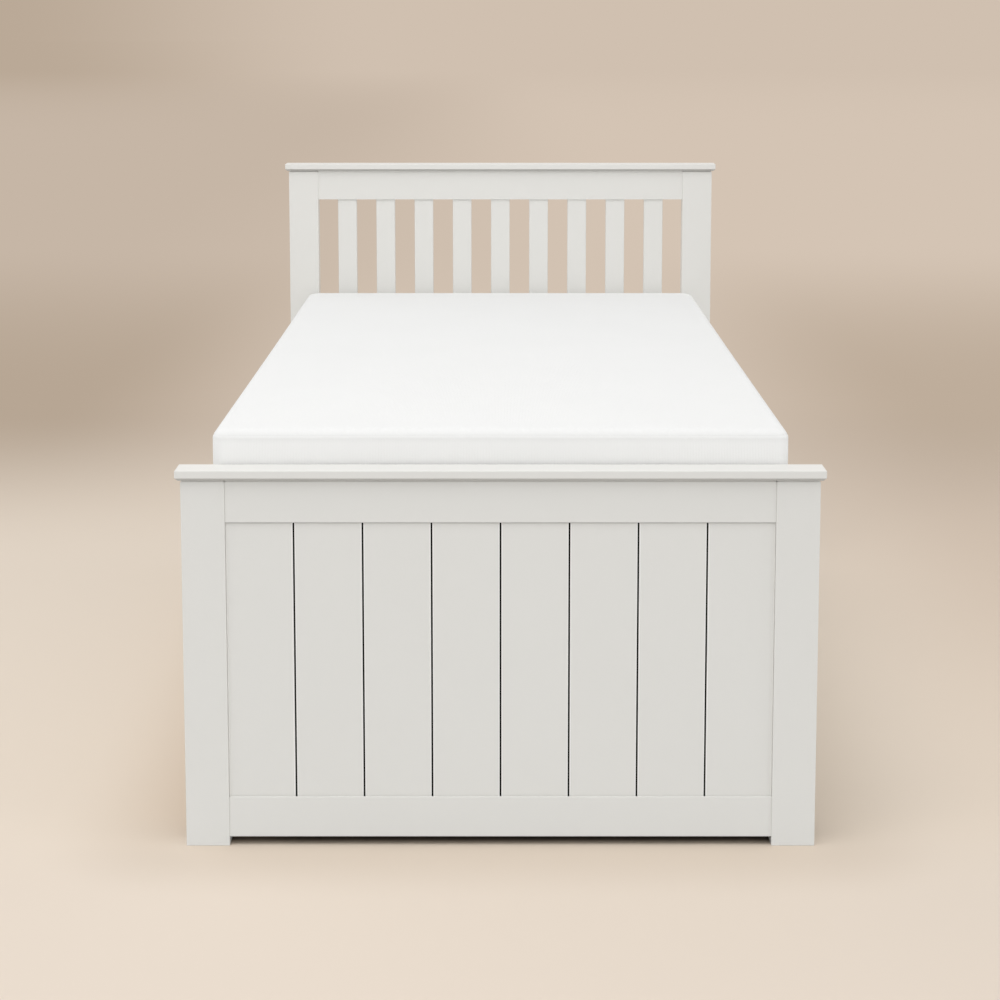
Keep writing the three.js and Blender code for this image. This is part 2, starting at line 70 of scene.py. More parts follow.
camera = placed("camera", bpy.data.cameras.new("camera"))
camera.data.sensor_width = film_width
camera.data.lens = lens_length
camera.data.shift_y = film_shift_share
camera.data.clip_end = sight_limit
camera.location = eye_place
camera.rotation_euler = (math.pi / 2 - eye_tilt, 0, 0)
scene.camera = camera


# Floor and light
# A wide pale studio floor with a deeper beige band behind the bed, under an even sky of white light.
# The floor's colour holds painted shade and shadow: darker close round the feet, dark under the bed,
# darker on the right of it and in the deeper beige band behind it. Far from the bed the floor glows
# with its own tone as a pale backdrop, and near the bed a faint glow, painted light, pales its
# shadows. A large softbox hangs high over the foot end, a little to its left. Weak lamps in front,
# low on the right and low behind on the left light the other sides.
def tone(red, green, blue):
    """The light of a paint chip whose colour is given from 0 to 255"""
    shares = [value / 255 for value in (red, green, blue)]
    linear = [s / 12.92 if s <= 0.04045 else ((s + 0.055) / 1.055) ** 2.4 for s in shares]
    return (*linear, 1)


def add(tree, kind, inputs=None, **settings):
    """A new node in a tree, with its settings, and its inputs set or linked"""
    new = tree.nodes.new(kind)
    for name, value in settings.items():
        setattr(new, name, value)
    for name, value in (inputs or {}).items():
        if isinstance(value, bpy.types.NodeSocket):
            tree.links.new(value, new.inputs[name])
        else:
            new.inputs[name].default_value = value
    return new


def figure(tree, operation, *values):
    """The result of a sum on numbers or sockets"""
    inputs = dict(enumerate(values))
    return add(tree, "ShaderNodeMath", inputs, operation=operation).outputs[0]


def vector_step(tree, operation, first, second=(0, 0, 0)):
    """The vector that a sum on vectors gives"""
    return add(tree, "ShaderNodeVectorMath", {0: first, 1: second}, operation=operation).outputs[0]


def axes_of(tree, vector):
    """The three numbers of a vector, by the names of their axes"""
    return add(tree, "ShaderNodeSeparateXYZ", {0: vector}).outputs


def blended(tree, share, first, second):
    """The colour between two colours"""
    mixer = add(tree, "ShaderNodeMix", {0: share, 6: first, 7: second}, data_type="RGBA")
    return mixer.outputs[2]


def eased_step(tree, value, low, high):
    """A share that climbs smoothly from 0 at the low value to 1 at the high one"""
    ramp = add(tree, "ShaderNodeMapRange", {"Value": value, "From Min": low, "From Max": high},
               interpolation_type="SMOOTHSTEP")
    return ramp.outputs[0]


def new_finish(name, roughness=0.5):
    """A material with its tree, its surface shader and the place on the piece"""
    material = bpy.data.materials.new(name)
    material.use_nodes = True
    tree = material.node_tree
    coat = tree.nodes["Principled BSDF"]
    coat.inputs["Roughness"].default_value = roughness
    return material, tree, coat, add(tree, "ShaderNodeTexCoord").outputs["Object"]


def seen_straight(tree):
    """1 on a ray from the camera or from a gloss, and 0 on a ray that carries light"""
    rays = add(tree, "ShaderNodeLightPath").outputs
    return figure(tree, "MAXIMUM", rays["Is Camera Ray"], rays["Is Glossy Ray"])


floor_radius = 150
floor_sides = 96
floor_roughness = 0.9
floor_gloss = 0.1
# Painted shadow: the floor is darker close round the feet, most of all in front of the foot end
painted_contact_shadow_front_tone = tone(210, 196, 181)
painted_contact_shadow_side_tone = tone(223, 209, 193)
front_tone = tone(225, 212, 198)
near_tone = tone(229, 216, 201)
left_back_tone = tone(227, 213, 197)
# Painted shadow: the floor on the right of the bed is darker, more so towards the head end
right_painted_shadow_tone = tone(223, 207, 190)
right_back_painted_shadow_tone = tone(212, 195, 178)
# Painted shade: the floor inside the feet, under the bed, is coloured dark
painted_under_shade_tone = tone(96, 86, 76)
# Painted shade: a deeper beige band on the floor behind the bed, darkest to the left and right
deep_left_painted_shade_tone = tone(183, 166, 148)
deep_middle_painted_shade_tone = tone(210, 194, 178)
deep_right_painted_shade_tone = tone(190, 173, 155)
far_left_tone = tone(198, 182, 166)
far_right_tone = tone(212, 196, 180)
dark_tone = tone(186, 169, 151)
far_tone = tone(208, 192, 176)
bounce_tone = (0.79, 0.78, 0.765, 1)
right_span = (0.4, 1.3)
left_back_span = (0.4, 2.2)
right_back_span = (-0.9, 1.2)
front_span = (-1.25, -0.85)
painted_contact_shadow_span = (0.02, 0.24)
across_span = (-1.4, 1.4)
middle_span = (0.5, 1.5)
far_across_span = (-2.4, 1.2)
deep_span = (1.0, 3.2)
far_span = (3.5, 9.2)
horizon_span = (20, 60)
dark_span = (-0.21, -0.05)
painted_under_shade_span = (-0.035, -0.004)
glow_near_share = 0.10
glow_near_span = (0.02, 0.9)
glow_far_span = (0.9, 2.6)

floor_mesh = bpy.data.meshes.new("floor")
rim = [2 * math.pi * i / floor_sides for i in range(floor_sides)]
floor_mesh.from_pydata(
    [(floor_radius * math.cos(a), floor_radius * math.sin(a), 0) for a in rim], [],
    [list(range(floor_sides))])
placed("floor", floor_mesh)

floor_finish, floor_tree, floor_coat, floor_place = new_finish("studio floor", floor_roughness)
floor_axes = axes_of(floor_tree, floor_place)
floor_x = floor_axes["X"]
floor_y = floor_axes["Y"]


def changing(value, span, first, second):
    """A tone of the floor that changes smoothly from one to another over a span"""
    return blended(floor_tree, eased_step(floor_tree, value, *span), first, second)


def horizon_tone(tree, way):
    """The tone at the horizon in a direction, darker towards the left of the head end"""
    step = eased_step(tree, axes_of(tree, way)["X"], *dark_span)
    return blended(tree, step, dark_tone, far_tone)


feet_reach = (-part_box("foot_post_left")[0].x, -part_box("foot_post_left")[0].y, 0)
beyond_feet = vector_step(
    floor_tree, "SUBTRACT", vector_step(floor_tree, "ABSOLUTE", floor_place), feet_reach)
beyond_axes = axes_of(floor_tree, beyond_feet)
inside_feet = figure(floor_tree, "MAXIMUM", beyond_axes["X"], beyond_axes["Y"])
outside_feet = vector_step(floor_tree, "MAXIMUM", beyond_feet)
floor_away = add(floor_tree, "ShaderNodeVectorMath", {0: outside_feet}, operation="LENGTH").outputs["Value"]

left_floor = changing(floor_y, left_back_span, near_tone, left_back_tone)
right_painted_shadow_floor = changing(floor_y, right_back_span, right_painted_shadow_tone, right_back_painted_shadow_tone)
side_floor = changing(floor_x, right_span, left_floor, right_painted_shadow_floor)
open_floor = changing(floor_y, front_span, front_tone, side_floor)
painted_contact_shadow_floor = changing(floor_y, front_span, painted_contact_shadow_front_tone, painted_contact_shadow_side_tone)
near_floor = changing(floor_away, painted_contact_shadow_span, painted_contact_shadow_floor, open_floor)
deep_sides = changing(floor_x, across_span, deep_left_painted_shade_tone, deep_right_painted_shade_tone)
off_middle = figure(floor_tree, "ABSOLUTE", floor_x)
deep_painted_shade_floor = changing(off_middle, middle_span, deep_middle_painted_shade_tone, deep_sides)
far_floor = changing(floor_x, far_across_span, far_left_tone, far_right_tone)
horizon_floor = horizon_tone(floor_tree, vector_step(floor_tree, "NORMALIZE", floor_place))
# Painted shade under the bed, then the deeper band, the far floor and the horizon
seen_floor = changing(inside_feet, painted_under_shade_span, painted_under_shade_tone, near_floor)
seen_floor = changing(floor_y, deep_span, seen_floor, deep_painted_shade_floor)
seen_floor = changing(floor_y, far_span, seen_floor, far_floor)
seen_floor = changing(floor_away, horizon_span, seen_floor, horizon_floor)

floor_straight = seen_straight(floor_tree)
floor_colour = blended(floor_tree, floor_straight, bounce_tone, seen_floor)
floor_tree.links.new(floor_colour, floor_coat.inputs["Base Color"])
floor_coat.inputs["Specular IOR Level"].default_value = floor_gloss
# Painted light: the floor glows with its seen tone to camera and gloss rays. Far from the bed this makes an
# evenly pale backdrop; near the bed a small share of it pales the shadows.
floor_glow = add(floor_tree, "ShaderNodeEmission", {"Color": seen_floor, "Strength": 1}).outputs[0]
near_glow = figure(floor_tree, "MULTIPLY", eased_step(floor_tree, floor_away, *glow_near_span),
                   glow_near_share)
glow = figure(floor_tree, "MAXIMUM", near_glow, eased_step(floor_tree, floor_away, *glow_far_span))
floor_mix = add(floor_tree, "ShaderNodeMixShader", {
    0: figure(floor_tree, "MULTIPLY", glow, floor_straight), 1: floor_coat.outputs[0], 2: floor_glow})
floor_tree.links.new(floor_mix.outputs[0], floor_tree.nodes["Material Output"].inputs["Surface"])
floor_mesh.materials.append(floor_finish)

sky_strength = 0.64
high_tone = tone(254, 253, 251)
high_span = (0.03, 0.32)
sky = bpy.data.worlds.new("studio")
scene.world = sky
sky.use_nodes = True
sky_tree = sky.node_tree
sky_light = sky_tree.nodes["Background"]
sky_light.inputs["Color"].default_value = (1, 1, 1, 1)
sky_light.inputs["Strength"].default_value = sky_strength
sky_way = add(sky_tree, "ShaderNodeTexCoord").outputs["Generated"]
sky_step = eased_step(sky_tree, axes_of(sky_tree, sky_way)["Z"], *high_span)
sky_tone = blended(sky_tree, sky_step, horizon_tone(sky_tree, sky_way), high_tone)
sky_seen = add(sky_tree, "ShaderNodeBackground", {"Color": sky_tone, "Strength": 1})
seen_through = add(sky_tree, "ShaderNodeLightPath").outputs["Is Transmission Ray"]
sky_mix = add(sky_tree, "ShaderNodeMixShader", {
    0: figure(sky_tree, "MAXIMUM", seen_straight(sky_tree), seen_through),
    1: sky_light.outputs[0], 2: sky_seen.outputs[0]})
sky_tree.links.new(sky_mix.outputs[0], sky_tree.nodes["World Output"].inputs["Surface"])

key_way = (-0.16, -0.38, 0.91)
key_distance = 6.5
key_size = 4.5
key_share = 0.39
weak_lamps = {
    "front_lamp": {"way": (-0.10, -0.93, 0.36), "share": 0.04, "spread": 30},
    "right_lamp": {"way": (0.92, -0.25, 0.30), "share": 0.13, "spread": 50},
    "back_lamp": {"way": (-0.72, 0.62, 0.30), "share": 0.11, "spread": 50}}


def lamp_from(name, kind, way):
    """A lamp that shines at the bed from a direction"""
    lamp = placed(name, bpy.data.lights.new(name, kind))
    lamp.rotation_euler = Vector(way).to_track_quat("Z", "Y").to_euler()
    return lamp


def far_lamp(name, way, share, spread):
    """A far soft lamp that lights a white card, held square to it, to a share of white"""
    lamp = lamp_from(name, "SUN", way)
    lamp.data.energy = share * math.pi
    lamp.data.angle = math.radians(spread)


def softbox(name, way, distance, size, share):
    """A square lamp at a distance, which lights a white card at the bed to a share of white"""
    lamp = lamp_from(name, "AREA", way)
    lamp.data.size = size
    lamp.data.energy = share * (math.pi * distance) ** 2
    lamp.location = Vector(way).normalized() * distance
    lamp.visible_camera = False


softbox("key_lamp", key_way, key_distance, key_size, key_share)
for name, lamp in weak_lamps.items():
    far_lamp(name, **lamp)


# Posts, caps and rails of the two ends
# Squared bars of wood with their arrises eased by hand, sprayed with a satin off-white paint.
# The caps are glued on top of the posts, and the rails are tenoned between them.
peel_depth = 0.00006
spray_depth = 0.00025
paint_roughness_span = (0.26, 0.35)
post_arris = 0.0006
cap_arris = 0.0008
rail_arris = 0.0004
hidden_arris = 0.0040
ledge_arris = 0.0028
arris_steps = 3
weld_distance = 1e-5
flat_angle = math.radians(1)
crease_angle = math.radians(28)
shaded_underside_share = 0.5


def noise(tree, place, scale, detail=3):
    """The value of a noise at a place"""
    return add(tree, "ShaderNodeTexNoise", {"Vector": place, "Scale": scale, "Detail": detail}).outputs["Fac"]


def ranged(tree, value, low, high):
    """A noise or a share spread between two values"""
    return add(tree, "ShaderNodeMapRange", {"Value": value, "To Min": low, "To Max": high}).outputs[0]


def coloured(tree, coat, share, low, high):
    """The colour of a surface, between two tones"""
    tree.links.new(blended(tree, share, low, high), coat.inputs["Base Color"])


def raise_grain(tree, coat, height, depth, base=None):
    """Bump of a given depth on a surface, on top of another bump"""
    inputs = {"Height": height, "Distance": depth, "Strength": 1}
    if base is not None:
        inputs["Normal"] = base
    bump = add(tree, "ShaderNodeBump", inputs).outputs[0]
    tree.links.new(bump, coat.inputs["Normal"])
    return bump


def new_paint(name, low, high):
    """Satin paint between two tones, with the fine peel that a spray gun leaves"""
    material, tree, coat, place = new_finish(name)
    coloured(tree, coat, noise(tree, place, scale=2.3), low, high)
    tree.links.new(ranged(tree, noise(tree, place, scale=90), *paint_roughness_span),
                   coat.inputs["Roughness"])
    peel_bump = raise_grain(tree, coat, noise(tree, place, scale=420, detail=2), peel_depth)
    raise_grain(tree, coat, noise(tree, place, scale=38, detail=2), spray_depth, peel_bump)
    return material


paint = new_paint("satin paint", tone(225, 224, 220), tone(229, 228, 224))
# Painted highlight: a lighter paint for the side-facing faces of the boards' eased edges
arris_highlight_paint = new_paint("painted highlight on arrises", tone(246, 245, 242), tone(250, 249, 246))
# Painted shade: a darker paint for faces that look down
underside_painted_shade = new_paint("painted shade on undersides", tone(186, 184, 180), tone(191, 189, 185))


def as_mesh(name, bm):
    """The mesh of a finished shape"""
    mesh = bpy.data.meshes.new(name)
    bm.to_mesh(mesh)
    bm.free()
    return mesh


def whole_mesh(node):
    """The faces of a CAD node, merged and without the lines across them"""
    bm = bmesh.new()
    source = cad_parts[node].data
    corners = [bm.verts.new(vertex.co) for vertex in source.vertices]
    for face in source.polygons:
        bm.faces.new([corners[i] for i in face.vertices])
    bmesh.ops.remove_doubles(bm, verts=bm.verts[:], dist=weld_distance)
    bmesh.ops.dissolve_limit(bm, angle_limit=flat_angle, verts=bm.verts[:], edges=bm.edges[:])
    return as_mesh(node + "_mesh", bm)


def finished(name, mesh, body, nodes=(), finish=None, arris=0):
    """A piece on its body: shaded, with rounded edges and its finish, and the CAD nodes it stands for hidden
    """
    piece = placed(name, mesh)
    mesh.polygons.foreach_set("use_smooth", [True] * len(mesh.polygons))
    if finish is not None:
        mesh.materials.clear()
        mesh.materials.append(finish)
    if arris:
        rounding = piece.modifiers.new("arris", "BEVEL")
        rounding.width = arris
        rounding.segments = arris_steps
        rounding.limit_method = "WEIGHT" if "bevel_weight_edge" in mesh.attributes else "ANGLE"
        rounding.angle_limit = crease_angle
        rounding.harden_normals = True
    else:
        shading = piece.modifiers.new("shading", "WEIGHTED_NORMAL")
        shading.keep_sharp = True
    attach(piece, body)
    if nodes:
        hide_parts(*nodes)
    return piece


def painted(node, body, arris, top_arris=None):
    """A CAD node as a painted piece with eased arrises, which may be wider along its top"""
    mesh = whole_mesh(node)
    if top_arris is not None:
        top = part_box(node)[1].z - weld_distance
        on_top = [vertex.co.z > top for vertex in mesh.vertices]
        weights = mesh.attributes.new("bevel_weight_edge", "FLOAT", "EDGE")
        for edge, weight in zip(mesh.edges, weights.data):
            weight.value = 1 if all(on_top[i] for i in edge.vertices) else arris / top_arris
        arris = top_arris
    return finished(node + "_painted", mesh, body, [node], paint, arris)


def shade_painted_below(piece):
    """Darker paint on the faces that look down: painted shade, as under an overhang"""
    mesh = piece.data
    mesh.materials.append(underside_painted_shade)
    for face in mesh.polygons:
        if face.normal.z < -shaded_underside_share:
            face.material_index = 1


for end in ("foot", "head"):
    painted(end + "_post_left", "bedstead", post_arris, hidden_arris)
    painted(end + "_post_right", "bedstead", post_arris, hidden_arris)
    # Painted shade: the cap rail's downward faces, its chamfer under the front, take the darker paint
    shade_painted_below(painted(end + "_cap_rail", "bedstead", cap_arris))
    painted(end + "_top_rail", "bedstead", rail_arris, hidden_arris)
    painted(end + "_bottom_rail", "bedstead", post_arris, ledge_arris)
painted("head_middle_rail", "bedstead", rail_arris, ledge_arris)


# Tongue and groove boards
# Eight boards close each end below its top or middle rail. They stand in housings in the rails,
# and show a dark groove between each two, where the tongue lies deep behind the eased edges, and a
# fine dark gap under the rail. The tongues and a strip behind that gap are coloured near black,
# painted shade, and the eased edges that look sideways take a lighter paint, a painted highlight.
board_gap = 0.0027
board_arris = 0.0016
board_count = 8
housing_gap = 0.0012
tongue_setback = 0.006
tongue_thickness = 0.0036
tongue_lap = 0.0002
highlight_arris_cosines = (0.15, 0.97)
shade_gloss = 0.1

# Painted shade: near-black colour for the tongues and the strip behind the gap under the rail
shade, shade_tree, shade_coat, shade_place = new_finish("groove shade", roughness=0.9)
coloured(shade_tree, shade_coat, noise(shade_tree, shade_place, scale=60), tone(7, 7, 7), tone(18, 17, 16))
shade_coat.inputs["Specular IOR Level"].default_value = shade_gloss


def geometry_tree(name, **sizes):
    """A tree of Geometry Nodes with a named input for each size, listed by kind, and those inputs"""
    tree = bpy.data.node_groups.new(name, "GeometryNodeTree")
    tree.interface.new_socket("Geometry", in_out="OUTPUT", socket_type="NodeSocketGeometry")
    for kind, names in sizes.items():
        for size in names:
            tree.interface.new_socket(size, in_out="INPUT", socket_type="NodeSocket" + kind)
    return tree, add(tree, "NodeGroupInput").outputs


def vector_of(tree, x=0, y=0, z=0):
    """A vector from three numbers or sockets"""
    return add(tree, "ShaderNodeCombineXYZ", {"X": x, "Y": y, "Z": z}).outputs[0]


def planed_bar(tree, width, thickness, length, arris):
    """A bar along +Z with rounded edges: a rectangle swept up a line"""
    outline = add(tree, "GeometryNodeCurvePrimitiveQuadrilateral", {"Width": width, "Height": thickness})
    rounded = add(tree, "GeometryNodeFilletCurve",
                  {"Curve": outline.outputs[0], "Radius": arris, "Count": arris_steps}, mode="POLY")
    line = add(tree, "GeometryNodeCurvePrimitiveLine", {"End": vector_of(tree, z=length)})
    swept = add(tree, "GeometryNodeCurveToMesh", {
        "Curve": line.outputs[0], "Profile Curve": rounded.outputs[0], "Fill Caps": True})
    return swept.outputs[0]


def row_of(tree, count, first, step, piece, turn=(0, 0, 0)):
    """Copies of a piece in a row, as instances"""
    line = add(tree, "GeometryNodeMeshLine",
               {"Count": count, "Start Location": first, "Offset": step}, mode="OFFSET")
    return add(tree, "GeometryNodeInstanceOnPoints",
               {"Points": line.outputs[0], "Instance": piece, "Rotation": turn}).outputs[0]


def given_finish(tree, instances, finish):
    """Instances made real, with their finish"""
    real = add(tree, "GeometryNodeRealizeInstances", {"Geometry": instances}).outputs[0]
    return add(tree, "GeometryNodeSetMaterial", {"Geometry": real, "Material": finish}).outputs[0]


def end_tree(tree, *parts):
    """The tree's result: its parts joined"""
    join = add(tree, "GeometryNodeJoinGeometry")
    for part in parts:
        tree.links.new(part, join.inputs[0])
    add(tree, "NodeGroupOutput", {0: join.outputs[0]})


def grown(name, tree, values):
    """The plain mesh that a tree makes from one set of values"""
    carrier = placed(name, bpy.data.meshes.new(name))
    modifier = carrier.modifiers.new(tree.name, "NODES")
    modifier.node_group = tree
    for socket in tree.interface.items_tree:
        if socket.in_out == "INPUT":
            modifier[socket.identifier] = values[socket.name]
    depsgraph = bpy.context.evaluated_depsgraph_get()
    mesh = bpy.data.meshes.new_from_object(carrier.evaluated_get(depsgraph))
    carrier.modifiers.remove(modifier)
    bpy.data.objects.remove(carrier)
    return mesh


boards_tree, sizes = geometry_tree(
    "tongue and groove boards", Vector=["Corner"], Int=["Boards"], Material=["Paint", "Arris highlight", "Shade"],
    Float=["Board width", "Gap", "Thickness", "Height", "Top gap", "Arris",
           "Tongue setback", "Tongue thickness", "Tongue lap"])


def board_row(count, x, y, width, thickness, length, arris, z=0):
    """Bars a board's width apart, the first one at a place from the corner of the boards"""
    place = vector_step(boards_tree, "ADD", sizes["Corner"], vector_of(boards_tree, x, y, z))
    bar = planed_bar(boards_tree, width, thickness, length, arris)
    return row_of(boards_tree, count, place, vector_of(boards_tree, board_step), bar)


board_step = figure(boards_tree, "ADD", sizes["Board width"], sizes["Gap"])
board_height = figure(boards_tree, "SUBTRACT", sizes["Height"], sizes["Top gap"])
half_width = figure(boards_tree, "DIVIDE", sizes["Board width"], 2)
half_depth = figure(boards_tree, "DIVIDE", sizes["Thickness"], 2)
all_boards = board_row(sizes["Boards"], half_width, half_depth,
                       sizes["Board width"], sizes["Thickness"], board_height, sizes["Arris"])
tongue_count = figure(boards_tree, "SUBTRACT", sizes["Boards"], 1)
tongue_width = figure(boards_tree, "MULTIPLY_ADD", sizes["Tongue lap"], 2, sizes["Gap"])
tongue_x = figure(boards_tree, "MULTIPLY_ADD", sizes["Gap"], 0.5, sizes["Board width"])
tongue_y = figure(boards_tree, "MULTIPLY_ADD", sizes["Tongue thickness"], 0.5, sizes["Tongue setback"])
all_tongues = board_row(tongue_count, tongue_x, tongue_y,
                        tongue_width, sizes["Tongue thickness"], board_height, sizes["Tongue lap"])
housing_width = figure(boards_tree, "SUBTRACT",
                       figure(boards_tree, "MULTIPLY", board_step, sizes["Boards"]), sizes["Gap"])
housing_shade = board_row(1, figure(boards_tree, "DIVIDE", housing_width, 2), tongue_y, housing_width,
                          sizes["Tongue thickness"], sizes["Top gap"], sizes["Tongue lap"], board_height)
# Painted highlight: the faces of the eased edges that look sideways take the lighter paint
face_way = add(boards_tree, "GeometryNodeInputNormal").outputs[0]
sideways = figure(boards_tree, "ABSOLUTE", axes_of(boards_tree, face_way)["X"])
on_highlighted_arris = figure(boards_tree, "MULTIPLY",
                  figure(boards_tree, "GREATER_THAN", sideways, highlight_arris_cosines[0]),
                  figure(boards_tree, "LESS_THAN", sideways, highlight_arris_cosines[1]))
highlighted_boards = add(boards_tree, "GeometryNodeSetMaterial", {
    "Geometry": given_finish(boards_tree, all_boards, sizes["Paint"]), "Selection": on_highlighted_arris,
    "Material": sizes["Arris highlight"]}).outputs[0]
end_tree(boards_tree, highlighted_boards, given_finish(boards_tree, all_tongues, sizes["Shade"]),
         given_finish(boards_tree, housing_shade, sizes["Shade"]))


def boarded(name, nodes, rail):
    """The boards of one end, in the space that their CAD nodes fill, with a fine gap under the rail"""
    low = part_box(nodes[0])[0]
    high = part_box(nodes[-1])[1]
    width = (high.x - low.x - (board_count - 1) * board_gap) / board_count
    top_gap = high.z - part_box(rail)[0].z + housing_gap
    mesh = grown(name, boards_tree, {
        "Corner": low, "Boards": board_count, "Board width": width, "Gap": board_gap,
        "Thickness": high.y - low.y, "Height": high.z - low.z, "Top gap": top_gap,
        "Arris": board_arris, "Tongue setback": tongue_setback, "Tongue thickness": tongue_thickness,
        "Tongue lap": tongue_lap, "Paint": paint, "Arris highlight": arris_highlight_paint, "Shade": shade})
    return finished(name, mesh, "bedstead", nodes)


boarded("foot_boards", [f"foot_board_{i + 1}" for i in range(board_count)], "foot_top_rail")
boarded("head_lower_boards", ["head_lower_panel"], "head_middle_rail")


# Upright slats of the head end
# Nine flat painted bars with rounded edges, tenoned into the middle and top rails at even gaps.
head_slat_arris = 0.0022
head_slat_seed = 1
trunk_low = (-9, -0.05, 0.012)
trunk_high = (9, 0.05, 0.06)

bars_tree, sizes = geometry_tree(
    "planed bars in a row", Vector=["First", "Step", "Turn"], Int=["Count", "Seed"],
    Float=["Width", "Thickness", "Length", "Arris"], Material=["Finish"])
one_bar = planed_bar(bars_tree, sizes["Width"], sizes["Thickness"], sizes["Length"], sizes["Arris"])
bar_axes = axes_of(bars_tree, add(bars_tree, "GeometryNodeInputPosition").outputs[0])
along_grain = vector_of(bars_tree, bar_axes["Z"], bar_axes["X"], bar_axes["Y"])
grained_bar = add(bars_tree, "GeometryNodeStoreNamedAttribute",
                  {"Geometry": one_bar, "Name": "grain", "Value": along_grain},
                  data_type="FLOAT_VECTOR", domain="POINT").outputs[0]
bar_row = row_of(bars_tree, sizes["Count"], sizes["First"], sizes["Step"], grained_bar, sizes["Turn"])
cut_from = add(bars_tree, "FunctionNodeRandomValue", {
    "Min": trunk_low, "Max": trunk_high, "Seed": sizes["Seed"],
    "ID": add(bars_tree, "GeometryNodeInputIndex").outputs[0]}, data_type="FLOAT_VECTOR").outputs[0]
shifted_row = add(bars_tree, "GeometryNodeStoreNamedAttribute",
                  {"Geometry": bar_row, "Name": "cut from", "Value": cut_from},
                  data_type="FLOAT_VECTOR", domain="INSTANCE").outputs[0]
end_tree(bars_tree, given_finish(bars_tree, shifted_row, sizes["Finish"]))


def middle_of(node):
    """The middle of a CAD node"""
    low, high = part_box(node)
    return (low + high) / 2


slat_nodes = [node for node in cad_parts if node.startswith("head_slat_")]
slat_low, slat_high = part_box("head_slat_1")
slat_size = slat_high - slat_low
slat_middle = middle_of("head_slat_1")
head_slats = grown("head_slats", bars_tree, {
    "First": (slat_middle.x, slat_middle.y, slat_low.z),
    "Step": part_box("head_slat_2")[0] - slat_low, "Count": len(slat_nodes), "Turn": (0, 0, 0),
    "Width": slat_size.x, "Thickness": slat_size.y, "Length": slat_size.z,
    "Arris": head_slat_arris, "Seed": head_slat_seed, "Finish": paint})
finished("head_slats", head_slats, "bedstead", slat_nodes)


# Side rails and the rails between them
# Deep painted boards screwed to the posts, each with a ledge glued along its inner face. A thin
# rail runs between the drawers and the trundle, and another ties the uprights on the wall side.
for node in ("side_rail_open_side", "side_rail_wall_side", "mid_rail", "wall_rail"):
    painted(node, "bedstead", rail_arris)


# Bed slats and their webbing
# Fourteen bare pine slats, planed and square at their ends, stapled underneath to two woven tapes
# that keep them at even gaps. They lie loose on the ledges of the side rails.
noise_middle = (0.5, 0.5, 0.5)
sway_stretch = (1.3, 5, 5)
sway_reach = (0, 0.028, 0.028)
fibre_stretch = (22, 800, 800)
streak_stretch = (2.2, 30, 30)
knot_stretch = (3.1, 9, 9)
ring_at_scale_one = 0.314
late_power = 2.6
late_shares = (0.04, 0.85)
fibre_share = 0.35
streak_share = 0.4
clear_share = 0.33
knot_tone = tone(166, 118, 74)
knot_heart_share = 0.25
smoother = 0.08
rougher = 0.1
grain_depth = 0.00012


def stretched(tree, place, scales):
    """A place measured with a scale of its own along each axis"""
    return add(tree, "ShaderNodeMapping", {"Vector": place, "Scale": scales}).outputs[0]


def new_wood(name, early, late, ring, knots, roughness):
    """Bare softwood, cut from the trunk that the grain attribute gives: rings, fibres and knots"""
    material, tree, coat, _ = new_finish(name)
    local = add(tree, "ShaderNodeAttribute", attribute_name="grain").outputs["Vector"]
    trunk = add(tree, "ShaderNodeAttribute", attribute_name="cut from").outputs["Vector"]
    wood = vector_step(tree, "ADD", local, trunk)
    sway = add(tree, "ShaderNodeTexNoise", {
        "Vector": stretched(tree, wood, sway_stretch), "Scale": 1, "Detail": 2}).outputs["Color"]
    centred = vector_step(tree, "SUBTRACT", sway, noise_middle)
    bent = add(tree, "ShaderNodeVectorMath", {0: centred, 1: sway_reach, 2: wood},
               operation="MULTIPLY_ADD").outputs[0]
    rings = add(tree, "ShaderNodeTexWave", {
        "Vector": bent, "Scale": ring_at_scale_one / ring, "Distortion": 0.6, "Detail": 1.5,
        "Detail Scale": 3}, wave_type="RINGS", rings_direction="X", wave_profile="SAW").outputs["Fac"]
    late_share = ranged(tree, figure(tree, "POWER", rings, late_power), *late_shares)
    fibre = noise(tree, stretched(tree, wood, fibre_stretch), scale=1)
    streak = noise(tree, stretched(tree, wood, streak_stretch), scale=1, detail=2)
    fibred = figure(tree, "MULTIPLY_ADD", fibre, fibre_share, late_share)
    streaked = figure(tree, "MULTIPLY_ADD", streak, streak_share,
                      figure(tree, "SUBTRACT", fibred, clear_share))
    colour = blended(tree, streaked, early, late)
    if knots:
        knot_place = stretched(tree, wood, knot_stretch)
        knot_far = add(tree, "ShaderNodeTexVoronoi", {"Vector": knot_place, "Scale": 1}).outputs["Distance"]
        knot = figure(tree, "SUBTRACT", 1, eased_step(tree, knot_far, knots * knot_heart_share, knots))
        colour = blended(tree, knot, colour, knot_tone)
    tree.links.new(colour, coat.inputs["Base Color"])
    tree.links.new(ranged(tree, fibre, roughness - smoother, roughness + rougher), coat.inputs["Roughness"])
    raise_grain(tree, coat, figure(tree, "ADD", fibre, late_share), grain_depth)
    return material


def bands(tree, place, scale, way, **unevenness):
    """Even bands across a direction, as in a weave or a knit"""
    return add(tree, "ShaderNodeTexWave", {"Vector": place, "Scale": scale, **unevenness},
               wave_type="BANDS", bands_direction=way).outputs["Fac"]


pine = new_wood("bare pine", tone(226, 197, 156), tone(198, 155, 106),
                ring=0.0042, knots=0.085, roughness=0.58)

weft_scale = 130
warp_scale = 160
weave_depth = 0.0003
webbing, webbing_tree, webbing_coat, webbing_place = new_finish("woven webbing", roughness=0.85)
weave = figure(webbing_tree, "MULTIPLY", bands(webbing_tree, webbing_place, weft_scale, "Y"),
               bands(webbing_tree, webbing_place, warp_scale, "X"))
coloured(webbing_tree, webbing_coat, weave, tone(196, 190, 176), tone(226, 221, 208))
raise_grain(webbing_tree, webbing_coat, weave, weave_depth)

